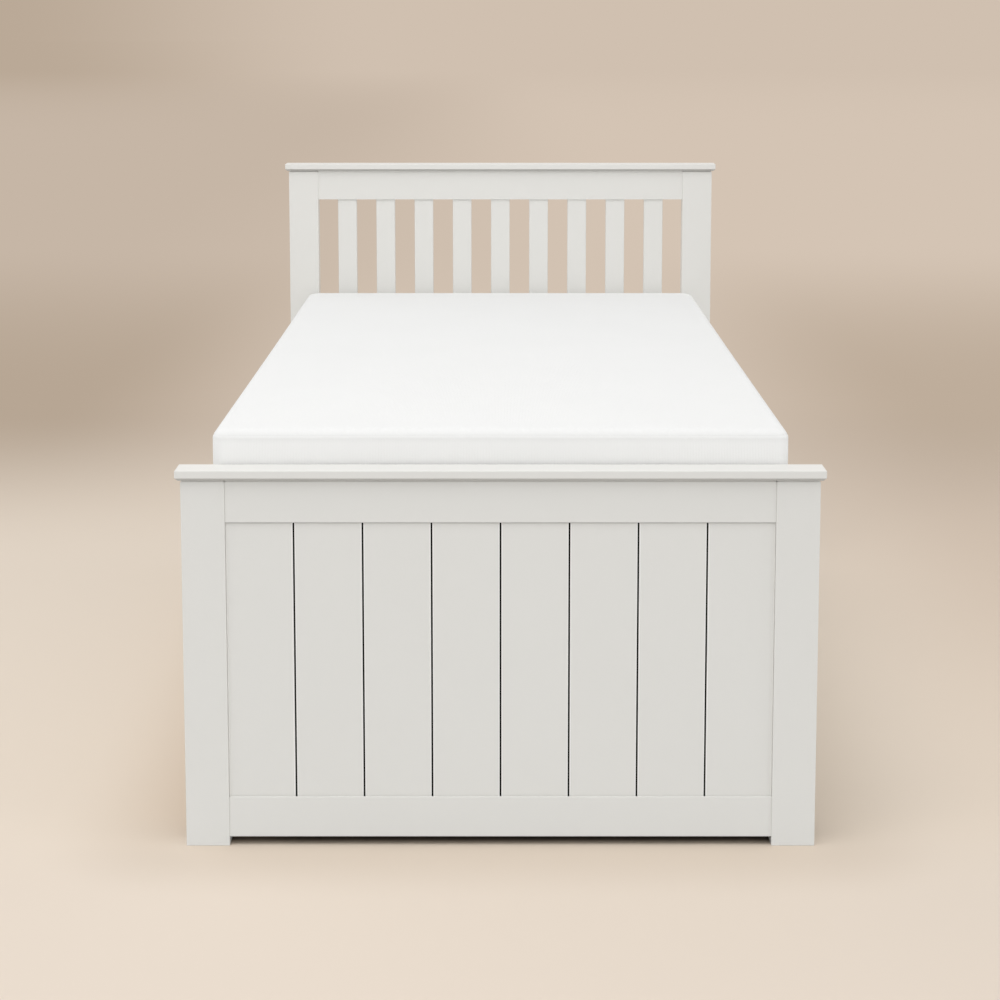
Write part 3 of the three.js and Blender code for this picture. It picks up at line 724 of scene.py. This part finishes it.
slat_count = 14
slat_thickness = 0.012
slat_width = 0.070
slat_arris = 0.0018
slat_roll_seed = 3
tape_width = 0.025
tape_thickness = 0.0015
tape_edge = 0.0004
tape_spacing = 0.560
along_x = (math.pi / 2, 0, math.pi / 2)
along_y = (-math.pi / 2, 0, 0)


def slat_roll(node, body, seed):
    """The slats of one roll and the two tapes under them"""
    low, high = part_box(node)
    pitch = (high.y - low.y - slat_width) / (slat_count - 1)
    slats = grown(node + "_slats", bars_tree, {
        "First": (low.x, low.y + slat_width / 2, high.z - slat_thickness / 2),
        "Step": (0, pitch, 0), "Count": slat_count, "Turn": along_x, "Width": slat_width,
        "Thickness": slat_thickness, "Length": high.x - low.x, "Arris": slat_arris, "Seed": seed,
        "Finish": pine})
    finished(node + "_slats", slats, body, [node])
    tape_x = middle_of(node).x - tape_spacing / 2
    tapes = grown(node + "_tapes", bars_tree, {
        "First": (tape_x, low.y, high.z - slat_thickness - tape_thickness / 2),
        "Step": (tape_spacing, 0, 0), "Count": 2, "Turn": along_y, "Width": tape_width,
        "Thickness": tape_thickness, "Length": high.y - low.y, "Arris": tape_edge, "Seed": seed,
        "Finish": webbing})
    finished(node + "_tapes", tapes, body)


slat_roll("slat_roll", "bedstead", slat_roll_seed)


# Uprights and drawer runners
# Four pine boards stand across the bed between the drawers. A square runner is glued and screwed
# along each side that has a drawer, and the drawer slides on it.
upright_count = 4
upright_seed = 20
upright_thickness = 0.018
runner_width = 0.018
runner_height = 0.018
board_edge = 0.0009
trunk_reach = (9, 0.5, 0.4)
length_flat = (0, 1, 2)
length_upright = (0, 2, 1)
width_flat = (1, 0, 2)
width_upright = (1, 2, 0)


def closed_mesh(name, bm, welded=False):
    """The mesh of a closed shape with its faces pointing outwards; places that meet may be welded"""
    if welded:
        bmesh.ops.remove_doubles(bm, verts=bm.verts[:], dist=weld_distance)
    bmesh.ops.recalc_face_normals(bm, faces=bm.faces[:])
    return as_mesh(name, bm)


def skinned(bm, rings):
    """Faces between each ring of points and the next; a ring may be a single point"""
    count = max(len(ring) for ring in rings)
    for inner, outer in zip(rings, rings[1:]):
        for i in range(count):
            after = (i + 1) % count
            corners = [inner[i % len(inner)], inner[after % len(inner)],
                       outer[after % len(outer)], outer[i % len(outer)]]
            bm.faces.new(list(dict.fromkeys(corners)))


def cut_board(bm, outline, low, high, axes, trunk):
    """A board in a mesh: an outline along and across the grain, from low to high through it"""
    grain = bm.verts.layers.float_vector["grain"]
    source = bm.verts.layers.float_vector["cut from"]
    along, across, through = axes
    rings = []
    for level in (low, high):
        ring = []
        for point in outline:
            place = Vector((0, 0, 0))
            place[along], place[across], place[through] = (*point, level)
            vertex = bm.verts.new(place)
            vertex[grain] = (*point, level)
            vertex[source] = trunk
            ring.append(vertex)
        bm.faces.new(ring)
        rings.append(ring)
    skinned(bm, rings)


def board_mesh(name, boards, seed=1):
    """A mesh of boards, each an outline with its levels and axes, cut from its own piece of trunk"""
    chance = random.Random(seed)
    bm = bmesh.new()
    bm.verts.layers.float_vector.new("grain")
    bm.verts.layers.float_vector.new("cut from")
    for outline, low, high, axes in boards:
        trunk = [chance.uniform(-reach, reach) for reach in trunk_reach]
        cut_board(bm, outline, low, high, axes, trunk)
    return closed_mesh(name, bm)


def squared(low, high, axes):
    """A squared board between two corners"""
    along, across, through = axes
    outline = [(low[along], low[across]), (high[along], low[across]),
               (high[along], high[across]), (low[along], high[across])]
    return outline, low[through], high[through], axes


def runner_sides(number, foot, head):
    """The sides of an upright that have a runner, each with its place, towards foot and head"""
    sides = {}
    if number > 0:
        sides["foot"] = foot
    if number < upright_count - 1:
        sides["head"] = head
    return sides


for i in range(upright_count):
    node = f"upright_{i + 1}"
    low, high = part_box(node)
    sides = runner_sides(i, low.y, high.y - runner_width)
    foot = low.y + (runner_width if "foot" in sides else 0)
    boards = [squared((low.x, foot, low.z), (high.x, foot + upright_thickness, high.z), length_upright)]
    for y in sides.values():
        boards.append(squared((low.x, y, low.z), (high.x, y + runner_width, low.z + runner_height),
                              length_upright))
    finished(node + "_boards", board_mesh(node + "_boards", boards, upright_seed + i), "bedstead",
             [node], pine, board_edge)


# Drawers
# Flat painted fronts with eased edges, each screwed from inside to a pine box. The box has finger
# joints at its corners and a thin bottom that sits in grooves in its four walls.
plywood = new_wood("birch plywood", tone(228, 206, 172), tone(206, 178, 138),
                   ring=0.016, knots=0, roughness=0.5)

drawer_count = 3
drawer_seed = 40
bottom_seed_step = 5
front_arris = 0.0024
box_wall = 0.012
box_bottom = 0.006
box_bottom_lift = 0.008
box_edge = 0.0004
finger_count = 9
bottom_bite = 0.005
upright_axes = (length_upright, width_upright)


def four_sides(low, high, thickness, lap, axes):
    """The corners and axes of the boards round a box: two along X, then two along Y, set in by a lap"""
    along, across = axes
    sides = []
    for y in (low.y, high.y - thickness):
        sides.append(((low.x, y, low.z), (high.x, y + thickness, high.z), along))
    for x in (low.x, high.x - thickness):
        sides.append(((x, low.y + lap, low.z), (x + thickness, high.y - lap, high.z), across))
    return sides


def comb_board(low, high, axes):
    """A wall of a box with a comb at both ends; one along Y has gaps where one along X stands out"""
    along, across, through = axes
    odd = axes == width_upright
    step = (high[across] - low[across]) / finger_count
    left, right = [], []
    for i in range(finger_count):
        back = box_wall if (i % 2 == 1) != odd else 0
        for edge in (i, i + 1):
            left.append((low[along] + back, low[across] + edge * step))
            right.append((high[along] - back, low[across] + edge * step))
    return right + left[::-1], low[through], high[through], axes


def drawer_box(node, body, seed):
    """The four jointed walls of a drawer and its bottom"""
    low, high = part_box(node)
    walls = [comb_board(*side) for side in four_sides(low, high, box_wall, 0, upright_axes)]
    mesh = board_mesh(node + "_walls", walls, seed)
    finished(node + "_walls", mesh, body, [node], pine, box_edge)
    inset = box_wall - bottom_bite
    bottom_z = low.z + box_bottom_lift
    bottom = squared((low.x + inset, low.y + inset, bottom_z),
                     (high.x - inset, high.y - inset, bottom_z + box_bottom), width_flat)
    mesh = board_mesh(node + "_bottom", [bottom], seed + bottom_seed_step)
    finished(node + "_bottom", mesh, body, (), plywood, box_edge)


for i in range(drawer_count):
    body = f"drawer_{i + 1}"
    painted(body + "_front", body, front_arris)
    drawer_box(body + "_box", body, drawer_seed + i)


# Knobs
# Turned wooden knobs, painted with the fronts: a small foot, a narrow neck and a domed head. Each
# is held by one screw from behind.
knob_steps = 40
knob_line_steps = 4
knob_along_shares = (0, 0.05, 0.10, 0.14, 0.24, 0.38, 0.48, 0.58, 0.68, 0.79, 0.90, 0.97, 1)
knob_radius_shares = (0.50, 0.54, 0.53, 0.48, 0.40, 0.385, 0.52, 0.80, 0.96, 1, 0.90, 0.60, 0)


def turned(profile, steps):
    """A shape turned about +X from its profile of distances along and from the axis"""
    bm = bmesh.new()
    angles = [2 * math.pi * i / steps for i in range(steps)]
    rings = []
    for along, radius in profile:
        rings.append([bm.verts.new((along, radius * math.cos(a), radius * math.sin(a)))
                      for a in (angles if radius else angles[:1])])
    skinned(bm, rings)
    return closed_mesh("turned", bm)


def smooth_line(points, steps):
    """A smooth line through points, with so many steps between each two"""
    line = []
    ends = [points[0], *points, points[-1]]
    for before, start, end, after in zip(ends, ends[1:], ends[2:], ends[3:]):
        for i in range(steps):
            t = i / steps
            line.append(tuple(
                ((2 * b) + (c - a) * t + (2 * a - 5 * b + 4 * c - d) * t * t
                 + (3 * b - a - 3 * c + d) * t ** 3) / 2
                for a, b, c, d in zip(before, start, end, after)))
    line.append(points[-1])
    return line


pieces_tree, sizes = geometry_tree(
    "like pieces in rows", Object=["Piece"], Vector=["First", "Step", "Turn", "Row step"],
    Int=["Count", "Rows"], Material=["Finish"])
piece_shape = add(pieces_tree, "GeometryNodeObjectInfo", {"Object": sizes["Piece"]}).outputs["Geometry"]
one_row = row_of(pieces_tree, sizes["Count"], (0, 0, 0), sizes["Step"], piece_shape, sizes["Turn"])
all_rows = row_of(pieces_tree, sizes["Rows"], sizes["First"], sizes["Row step"], one_row)
end_tree(pieces_tree, given_finish(pieces_tree, all_rows, sizes["Finish"]))


def in_rows(name, shape, body, finish, first, step, count, turn=(0, 0, 0),
            row_step=(0, 0, 0), rows=1, nodes=()):
    """Like pieces in rows on one body"""
    pattern = placed(name + "_pattern", shape)
    mesh = grown(name, pieces_tree, {
        "Piece": pattern, "First": first, "Step": step, "Count": count, "Turn": turn,
        "Row step": row_step, "Rows": rows, "Finish": finish})
    bpy.data.objects.remove(pattern)
    return finished(name, mesh, body, nodes)


def knobs(body):
    """The two knobs of one front"""
    left, right = body + "_knob_left", body + "_knob_right"
    low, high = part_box(left)
    middle = middle_of(left)
    radius = (high.z - low.z) / 2
    length = high.x - low.x
    points = [(a * length, r * radius) for a, r in zip(knob_along_shares, knob_radius_shares)]
    profile = [(0, 0), *smooth_line(points, knob_line_steps)]
    in_rows(body + "_knobs", turned(profile, knob_steps), body, paint, (low.x, middle.y, middle.z),
            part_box(right)[0] - low, count=2, nodes=[left, right])


for body in ("drawer_1", "drawer_2", "drawer_3", "trundle"):
    knobs(body)


# Trundle
# A low box on castors under the drawers: a painted front, a pine frame with a ledge all round
# inside, and a roll of slats on the ledge for the guest's mattress.
frame_wall = 0.018
frame_ledge_width = 0.040
frame_ledge_height = 0.025
frame_edge = 0.0012
frame_bottom = 0.048
frame_seed = 60
trundle_roll_seed = 7
flat_axes = (length_flat, width_flat)

painted("trundle_front", "trundle", front_arris)
low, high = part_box("trundle_frame")
low.z = frame_bottom
inner_low = low + Vector((frame_wall, frame_wall, 0))
inner_high = high - Vector((frame_wall, frame_wall, 0))
inner_high.z = low.z + frame_ledge_height
frame_sides = four_sides(low, high, frame_wall, frame_wall, upright_axes)
frame_sides += four_sides(inner_low, inner_high, frame_ledge_width, frame_ledge_width, flat_axes)
frame_boards = [squared(*side) for side in frame_sides]
trundle_frame = board_mesh("trundle_frame_boards", frame_boards, frame_seed)
finished("trundle_frame_boards", trundle_frame, "trundle", ["trundle_frame"], pine, frame_edge)
slat_roll("trundle_slat_roll", "trundle", trundle_roll_seed)


# Castors
# Four fixed castors carry the trundle: a pressed steel plate screwed under the ledge, two cheeks,
# an axle with riveted ends and a nylon wheel with a soft tyre.
steel_roughness_span = (0.26, 0.42)
steel_depth = 0.00004
tyre_depth = 0.00006

steel, steel_tree, steel_coat, steel_place = new_finish("zinc plated steel")
steel_coat.inputs["Metallic"].default_value = 1
steel_cloud = noise(steel_tree, steel_place, scale=140)
coloured(steel_tree, steel_coat, steel_cloud, tone(176, 178, 182), tone(208, 209, 210))
steel_tree.links.new(ranged(steel_tree, steel_cloud, *steel_roughness_span), steel_coat.inputs["Roughness"])
raise_grain(steel_tree, steel_coat, noise(steel_tree, steel_place, scale=900, detail=2), steel_depth)

tyre, tyre_tree, tyre_coat, tyre_place = new_finish("grey tyre", roughness=0.6)
tyre_cloud = noise(tyre_tree, tyre_place, scale=240)
coloured(tyre_tree, tyre_coat, tyre_cloud, tone(52, 54, 57), tone(72, 74, 77))
raise_grain(tyre_tree, tyre_coat, tyre_cloud, tyre_depth)

nylon, nylon_tree, nylon_coat, nylon_place = new_finish("white nylon", roughness=0.4)
nylon_cloud = noise(nylon_tree, nylon_place, scale=160, detail=2)
coloured(nylon_tree, nylon_coat, nylon_cloud, tone(196, 196, 192), tone(212, 212, 208))

quarter_turn = (0, 0, math.pi / 2)
wheel_steps = 48
tyre_shares = ((0.62, 0.70), (0.70, 0.96), (0.84, 1), (0.93, 0.94), (0.985, 0.74), (1, 0.45), (1, 0))
hub_shares = ((0.165, 0.98), (0.30, 1), (0.34, 0.94), (0.38, 0.60), (0.56, 0.60), (0.60, 0.72),
              (0.64, 0.76), (0.64, 0))
spoke_count = 6
spoke_reach_shares = (0.33, 0.61)
spoke_half_share = 0.88
spoke_thickness = 0.0016
fork_reach = 0.0130
cheek_thickness = 0.003
cheek_foot = 0.008
cheek_top_half = 0.017
cheek_steps = 10
plate_half = 0.030
plate_top = frame_bottom
plate_thickness = 0.003
plate_corner = 0.005
plate_corner_steps = 5
rivet_radius = 0.0048
rivet_height = 0.0018
rivet_shares = ((0, 1), (0.6, 0.8), (1, 0.4), (1, 0))
axle_steps = 24
steel_edge = 0.0007
corner_ways = ((1, 1), (-1, 1), (-1, -1), (1, -1))


def joined_mesh(name, parts):
    """One mesh of several, each with its place and its turn; places that meet are welded"""
    bm = bmesh.new()
    for mesh, place, turn in parts:
        mesh.transform(Matrix.Translation(place) @ Euler(turn).to_matrix().to_4x4())
        bm.from_mesh(mesh)
        bpy.data.meshes.remove(mesh)
    return closed_mesh(name, bm, welded=True)


def wheel_ring(shares, half, radius):
    """A turned ring of the wheel, the same on both its faces"""
    side = [(along * half, away * radius) for away, along in shares]
    other = [(-along, away) for along, away in reversed(side) if along]
    return turned([*side, *other, side[0]], wheel_steps)


def castor_wheel(wheel):
    """The tyre of one wheel, and its hub with spokes"""
    low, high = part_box(wheel)
    middle = middle_of(wheel)
    half = (high.y - low.y) / 2
    radius = (high.z - low.z) / 2
    ring = joined_mesh(wheel + "_tyre", [(wheel_ring(tyre_shares, half, radius), middle, quarter_turn)])
    finished(wheel + "_tyre", ring, wheel, [wheel], tyre)
    parts = [(wheel_ring(hub_shares, half, radius), middle, quarter_turn)]
    inner, outer = [share * radius for share in spoke_reach_shares]
    reach = half * spoke_half_share
    spoke_board = squared((inner, -reach, -spoke_thickness / 2), (outer, reach, spoke_thickness / 2),
                          length_flat)
    for i in range(spoke_count):
        parts.append((board_mesh("spoke", [spoke_board], i), middle, (0, 2 * math.pi * i / spoke_count, 0)))
    finished(wheel + "_hub", joined_mesh(wheel + "_hub", parts), wheel, (), nylon)


def round_corners(half_x, half_y, radius, steps):
    """The outline of a plate with round corners"""
    points = []
    for turn, (side_x, side_y) in enumerate(corner_ways):
        for i in range(steps + 1):
            angle = (turn + i / steps) * math.pi / 2
            points.append((side_x * (half_x - radius) + radius * math.cos(angle),
                           side_y * (half_y - radius) + radius * math.sin(angle)))
    return points


def fork_part(place):
    """The plate and the two cheeks of one castor, with their place and turn"""
    plate_outline = round_corners(plate_half, fork_reach, plate_corner, plate_corner_steps)
    plate_low = plate_top - plate_thickness - place.z
    foot = [(cheek_foot * math.cos(a), cheek_foot * math.sin(a))
            for a in [math.pi * (1 + i / cheek_steps) for i in range(cheek_steps + 1)]]
    cheek_outline = [*foot, (cheek_top_half, plate_low), (-cheek_top_half, plate_low)]
    boards = [(plate_outline, plate_low, plate_top - place.z, length_flat),
              (cheek_outline, -fork_reach, cheek_thickness - fork_reach, length_upright),
              (cheek_outline, fork_reach - cheek_thickness, fork_reach, length_upright)]
    return board_mesh("fork", boards), place, (0, 0, 0)


def axle_part(place):
    """The axle of one castor with its rivet heads, with its place and turn"""
    head = [(fork_reach + along * rivet_height, away * rivet_radius) for along, away in rivet_shares]
    line = [*[(-along, away) for along, away in reversed(head)], *head]
    return turned(line, axle_steps), place, quarter_turn


wheel_nodes = [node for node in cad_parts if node.startswith("castor_wheel")]
for node in wheel_nodes:
    castor_wheel(node)
forks = joined_mesh("castor_forks", [fork_part(middle_of(node)) for node in wheel_nodes])
finished("castor_forks", forks, "trundle", (), steel, steel_edge)
axles = joined_mesh("castor_axles", [axle_part(middle_of(node)) for node in wheel_nodes])
finished("castor_axles", axles, "trundle", (), steel)


# Screws and staples
# Zinc plated pan head screws with a cross hold the ledges, runners, castors, box fronts and knobs.
# Steel staples hold each slat to its two tapes. None of them shows in the closed bed.
screw_radius = 0.0040
screw_height = 0.0022
screw_sides = 12
screw_shares = ((1, 0), (0.98, 0.30), (0.84, 0.72), (0.66, 0.94))
cross_arms = 4
cross_reach_share = 0.55
cross_half_share = 0.14
cross_floor_share = 0.35
cross_shares = ((cross_reach_share, -cross_half_share), (cross_reach_share, cross_half_share),
                (cross_half_share, cross_half_share))
facing_right = (0, 0, 0)
facing_left = (0, 0, math.pi)
facing_head = (0, 0, math.pi / 2)
facing_foot = (0, 0, -math.pi / 2)
facing_down = (0, math.pi / 2, 0)


def screw_head():
    """The head of a screw on the plane x = 0, pointing along +X, with a cross recess"""
    bm = bmesh.new()
    angles = [2 * math.pi * (i - 0.5) / screw_sides for i in range(screw_sides)]
    rings = []
    for away, up in screw_shares:
        radius = away * screw_radius
        rings.append([(up * screw_height, radius * math.cos(a), radius * math.sin(a)) for a in angles])
    cross = []
    for turn in range(cross_arms):
        cosine, sine = math.cos(turn * math.pi / 2), math.sin(turn * math.pi / 2)
        for across, up in cross_shares:
            cross.append((screw_radius * (across * cosine - up * sine),
                          screw_radius * (across * sine + up * cosine)))
    for level in (1, cross_floor_share):
        rings.append([(level * screw_height, across, up) for across, up in cross])
    rings = [[bm.verts.new(point) for point in ring] for ring in rings]
    skinned(bm, rings)
    bm.faces.new(rings[-1])
    bm.faces.new(rings[0])
    return closed_mesh("screw_head", bm)


def screws(name, body, first, step, count, turn, row_step=(0, 0, 0), rows=1):
    """Rows of screws on one body"""
    in_rows(name, screw_head(), body, steel, first, step, count, turn, row_step, rows)


def knob_screws(body, inner_x):
    """The screws that hold the two knobs of one front from inside"""
    left, right = middle_of(body + "_knob_left"), middle_of(body + "_knob_right")
    screws(body + "_knob_screws", body, (inner_x, left.y, left.z), right - left, 2, facing_left)


ledge_screw_count = 8
ledge_screw_margin = 0.090
ledge_screw_drop = 0.011
ledge_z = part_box("slat_roll")[0].z + tape_thickness - ledge_screw_drop
for side, turn in (("open", facing_left), ("wall", facing_right)):
    low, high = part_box(f"side_rail_{side}_side")
    inner_x = low.x if side == "open" else high.x
    pitch = (high.y - low.y - 2 * ledge_screw_margin) / (ledge_screw_count - 1)
    screws(f"ledge_screws_{side}_side", "bedstead", (inner_x, low.y + ledge_screw_margin, ledge_z),
           (0, pitch, 0), ledge_screw_count, turn)

runner_screw_count = 4
runner_screw_margin = 0.080
for i in range(upright_count):
    low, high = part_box(f"upright_{i + 1}")
    pitch = (high.x - low.x - 2 * runner_screw_margin) / (runner_screw_count - 1)
    for side, y in runner_sides(i, low.y, high.y).items():
        screws(f"runner_screws_{i + 1}_{side}", "bedstead",
               (low.x + runner_screw_margin, y, low.z + runner_height / 2), (pitch, 0, 0),
               runner_screw_count, facing_foot if side == "foot" else facing_head)

front_screw_margin = 0.060
front_screw_rise = 0.040
for i in range(drawer_count):
    body = f"drawer_{i + 1}"
    low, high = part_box(body + "_box")
    span = high.y - low.y - 2 * (box_wall + front_screw_margin)
    screws(body + "_front_screws", body,
           (high.x - box_wall, low.y + box_wall + front_screw_margin, low.z + front_screw_rise),
           (0, span, 0), 2, facing_left, (0, 0, high.z - low.z - 2 * front_screw_rise), 2)
    knob_screws(body, high.x - box_wall)

corner_screw_count = 3
low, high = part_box("trundle_frame")
knob_screws("trundle", high.x - frame_wall)
corner_rise = (high.z - frame_bottom) / (corner_screw_count + 1)
for end, y, turn in (("foot", low.y, facing_foot), ("head", high.y, facing_head)):
    screws(f"trundle_corner_screws_{end}", "trundle",
           (low.x + frame_wall / 2, y, frame_bottom + corner_rise), (0, 0, corner_rise),
           corner_screw_count, turn, (high.x - low.x - frame_wall, 0, 0), 2)

castor_screw_reach = 0.0235
foot_wheels = [node for node in wheel_nodes if node.endswith("_foot")]
for number, foot_wheel in enumerate(foot_wheels):
    foot, head = middle_of(foot_wheel), middle_of(foot_wheel.replace("_foot", "_head"))
    screws(f"castor_screws_{number + 1}", "trundle",
           (foot.x - castor_screw_reach, foot.y, plate_top - plate_thickness),
           (2 * castor_screw_reach, 0, 0), 2, facing_down, (0, head.y - foot.y, 0), 2)

staple_length = 0.011
staple_width = 0.0012
staple_height = 0.0007
staple_corner_share = 1 / 3
staple_corner_steps = 2


def staples(node, body):
    """Two staples under each slat at each tape"""
    low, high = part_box(node)
    pitch = (high.y - low.y - slat_width) / (slat_count - 1)
    outline = round_corners(staple_width / 2, staple_length / 2, staple_width * staple_corner_share,
                            staple_corner_steps)
    staple = board_mesh("staple", [(outline, -staple_height, 0, length_flat)])
    first = (middle_of(node).x - tape_spacing / 2, low.y + slat_width / 2,
             high.z - slat_thickness - tape_thickness)
    in_rows(node + "_staples", staple, body, steel, first, (0, pitch, 0), slat_count,
            row_step=(tape_spacing, 0, 0), rows=2)


staples("slat_roll", "bedstead")
staples("trundle_slat_roll", "trundle")


# Mattress
# A single foam mattress in a plain white knitted cover. Its top panel is crowned, its border is
# drawn in a little between the corners, and a sewn seam runs round the top. The border and the
# rounded edge are coloured lighter than the top panel, painted light that makes up for the less
# light that falls on them.
knit_unevenness = {"Distortion": 1.2, "Detail": 1, "Detail Scale": 2}
rib_scale = 130
loop_scale = 210
knit_depth = 0.00022
cloud_depth = 0.0012
ticking_gloss = 0.25
ticking_sheen = 0.05
border_drop = 0.028
panel_drop = 0.010

ticking, ticking_tree, ticking_coat, ticking_place = new_finish("white knitted ticking", roughness=0.88)
ticking_coat.inputs["Specular IOR Level"].default_value = ticking_gloss
ticking_coat.inputs["Sheen Weight"].default_value = ticking_sheen
knit_place = add(ticking_tree, "ShaderNodeUVMap", uv_map="panels").outputs[0]
knit = figure(ticking_tree, "MULTIPLY", bands(ticking_tree, knit_place, rib_scale, "X", **knit_unevenness),
              bands(ticking_tree, knit_place, loop_scale, "Y", **knit_unevenness))
knit_cloud = noise(ticking_tree, knit_place, scale=5)
knit_shade = figure(ticking_tree, "DIVIDE", figure(ticking_tree, "ADD", knit, knit_cloud), 2)
# Painted light: the border is lighter than the panel, blending over the rounded edge
border_painted_light_tone = blended(ticking_tree, knit_shade, tone(246, 246, 245), tone(251, 251, 250))
panel_tone = blended(ticking_tree, knit_shade, tone(234, 234, 233), tone(239, 239, 238))
mattress_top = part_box("mattress")[1].z
on_panel = eased_step(ticking_tree, axes_of(ticking_tree, ticking_place)["Z"],
                      mattress_top - border_drop, mattress_top - panel_drop)
coloured(ticking_tree, ticking_coat, on_panel, border_painted_light_tone, panel_tone)
knit_bump = raise_grain(ticking_tree, ticking_coat, knit, knit_depth)
raise_grain(ticking_tree, ticking_coat, knit_cloud, cloud_depth, knit_bump)

mattress_bulge = 0.004
mattress_corner = 0.018
mattress_edge = 0.020
mattress_round = 0.0165
mattress_foot = 0.012
mattress_swell = 0.012
mattress_crown = 0.0035
mattress_slack = 0.002
mattress_reach = 0.075
mattress_draw = 0.003
mattress_wave = 0.0006
edge_power_share = 0.96
seam_height = 0.0062
seam_depth = 0.0005
seam_half = 0.0024
long_steps = 92
short_steps = 44
corner_steps = 10
underside_rings = 4
underside_step = 0.1
foot_rings = 6
swell_rings = 4
side_rings = 9
edge_rings = 26
crown_steps = 24
wave_fade_steps = 8
crown_power_share = 1.5
foam_waves = ((1, (7.3, 2.1, 0.6), (-1.9, 3.1, 1.1)), (0.5, (13, -5.2, 2.4), (0, 6.7, 0.4)))


def mattress_ring(half, middle, inset, z, draw):
    """Points round the mattress at one height: round corners, and sides drawn in between them"""
    half_x, half_y = half.x - inset, half.y - inset
    radius = min(mattress_corner, half_x)
    reach_x, reach_y = half_x - radius, half_y - radius
    points = []
    for turn, (side_x, side_y) in enumerate(corner_ways):
        for i in range(corner_steps):
            angle = (turn + i / corner_steps) * math.pi / 2
            points.append((side_x * reach_x + radius * math.cos(angle),
                           side_y * reach_y + radius * math.sin(angle)))
        angle = (turn + 1) * math.pi / 2
        away = Vector((round(math.cos(angle)), round(math.sin(angle))))
        start = Vector((side_x * reach_x, side_y * reach_y)) + away * radius
        next_x, next_y = corner_ways[(turn + 1) % len(corner_ways)]
        end = Vector((next_x * reach_x, next_y * reach_y)) + away * radius
        steps = short_steps if turn % 2 == 0 else long_steps
        side_draw = draw * (end - start).length / (2 * half_y)
        for i in range(steps):
            share = i / steps
            points.append(tuple(start.lerp(end, share) - away * side_draw * math.sin(math.pi * share)))
    return [(middle.x + x, middle.y + y, z) for x, y in points]


def mattress_profile(low, high, rail_top):
    """Each ring's inset, height and draw, from the middle of the underside up to the top's edge"""
    shoulder = high.z - mattress_crown
    foot_inset = mattress_bulge + mattress_foot
    profile = [(foot_inset + i * underside_step, low.z, 0) for i in reversed(range(underside_rings))]
    for i in range(1, foot_rings + 1):
        angle = i / foot_rings * math.pi / 2
        profile.append((mattress_bulge + mattress_foot * (1 - math.sin(angle)),
                        low.z + mattress_foot * (1 - math.cos(angle)), 0))
    profile.append((mattress_bulge, rail_top, 0))
    for i in range(1, swell_rings + 1):
        share = i / swell_rings
        eased = share * share * (3 - 2 * share)
        profile.append((mattress_bulge * (1 - eased), rail_top + share * mattress_swell,
                        mattress_draw * share / 2))
    swell_top = rail_top + mattress_swell
    edge_bottom = shoulder - mattress_round
    for i in range(1, side_rings):
        share = i / side_rings
        profile.append((0, swell_top + share * (edge_bottom - swell_top),
                        mattress_draw * (1 + math.sin(math.pi * share)) / 2))
    for i in range(edge_rings + 1):
        angle = i / edge_rings * math.pi / 2
        inset = mattress_edge * (1 - math.cos(angle) ** edge_power_share)
        height = mattress_round * math.sin(angle) ** edge_power_share
        sunk = seam_depth * max(0, 1 - abs(height - seam_height) / seam_half) ** 2
        profile.append((inset + sunk, edge_bottom + height, mattress_draw * (1 - i / edge_rings) / 2))
    return profile


def crown_height(across, along):
    """The rise of the top panel at a distance in from its two nearest edges"""
    rises = [1 - math.exp(-distance / mattress_reach) for distance in (across, along)]
    return mattress_crown * math.prod(rises)


def foam_wave(x, y):
    """The slow unevenness of foam under a loose cover"""
    return sum(share * math.prod(math.sin(a * x + b * y + c) for a, b, c in pair)
               for share, *pair in foam_waves)


def mattress():
    """The mattress from its rings, with its panels laid out flat in a UV map"""
    low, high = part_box("mattress")
    rail_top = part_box("side_rail_open_side")[1].z
    middle, half = middle_of("mattress"), (high - low) / 2
    half.x -= mattress_slack
    profile = mattress_profile(low, high, rail_top)
    rings = [mattress_ring(half, middle, *level) for level in profile]
    top_inset, shoulder, _ = profile[-1]
    for i in range(1, crown_steps + 1):
        inset = top_inset + (half.x - top_inset) * (i / crown_steps) ** crown_power_share
        fade = min(1, i / wave_fade_steps)
        ring = []
        for x, y, z in mattress_ring(half, middle, inset, shoulder, 0):
            across = half.x - top_inset - abs(x - middle.x)
            along = half.y - top_inset - abs(y - middle.y)
            rise = crown_height(across, along) + fade * mattress_wave * (foam_wave(x, y) - 1)
            ring.append((x, y, z + max(0, rise)))
        rings.append(ring)
    bm = bmesh.new()
    rows = [[bm.verts.new(point) for point in ring] for ring in rings]
    count = len(rows[0])
    panels = bm.loops.layers.uv.new("panels")
    for number, (lower, upper) in enumerate(zip(rows, rows[1:])):
        run = 0
        ring_z = profile[min(number, len(profile) - 1)][1]
        on_border = abs(ring_z - shoulder) > mattress_edge / 2
        for i in range(count):
            after = (i + 1) % count
            face = bm.faces.new([lower[i], lower[after], upper[after], upper[i]])
            length = (lower[after].co - lower[i].co).length
            for loop, start in zip(face.loops, (run, run + length, run + length, run)):
                place = loop.vert.co
                loop[panels].uv = (start, place.z) if on_border else (place.x, place.y)
            run += length
    bm.faces.new(rows[0])
    return closed_mesh("mattress_cover", bm, welded=True)


cover = finished("mattress_cover", mattress(), "bedstead", ["mattress"], ticking)
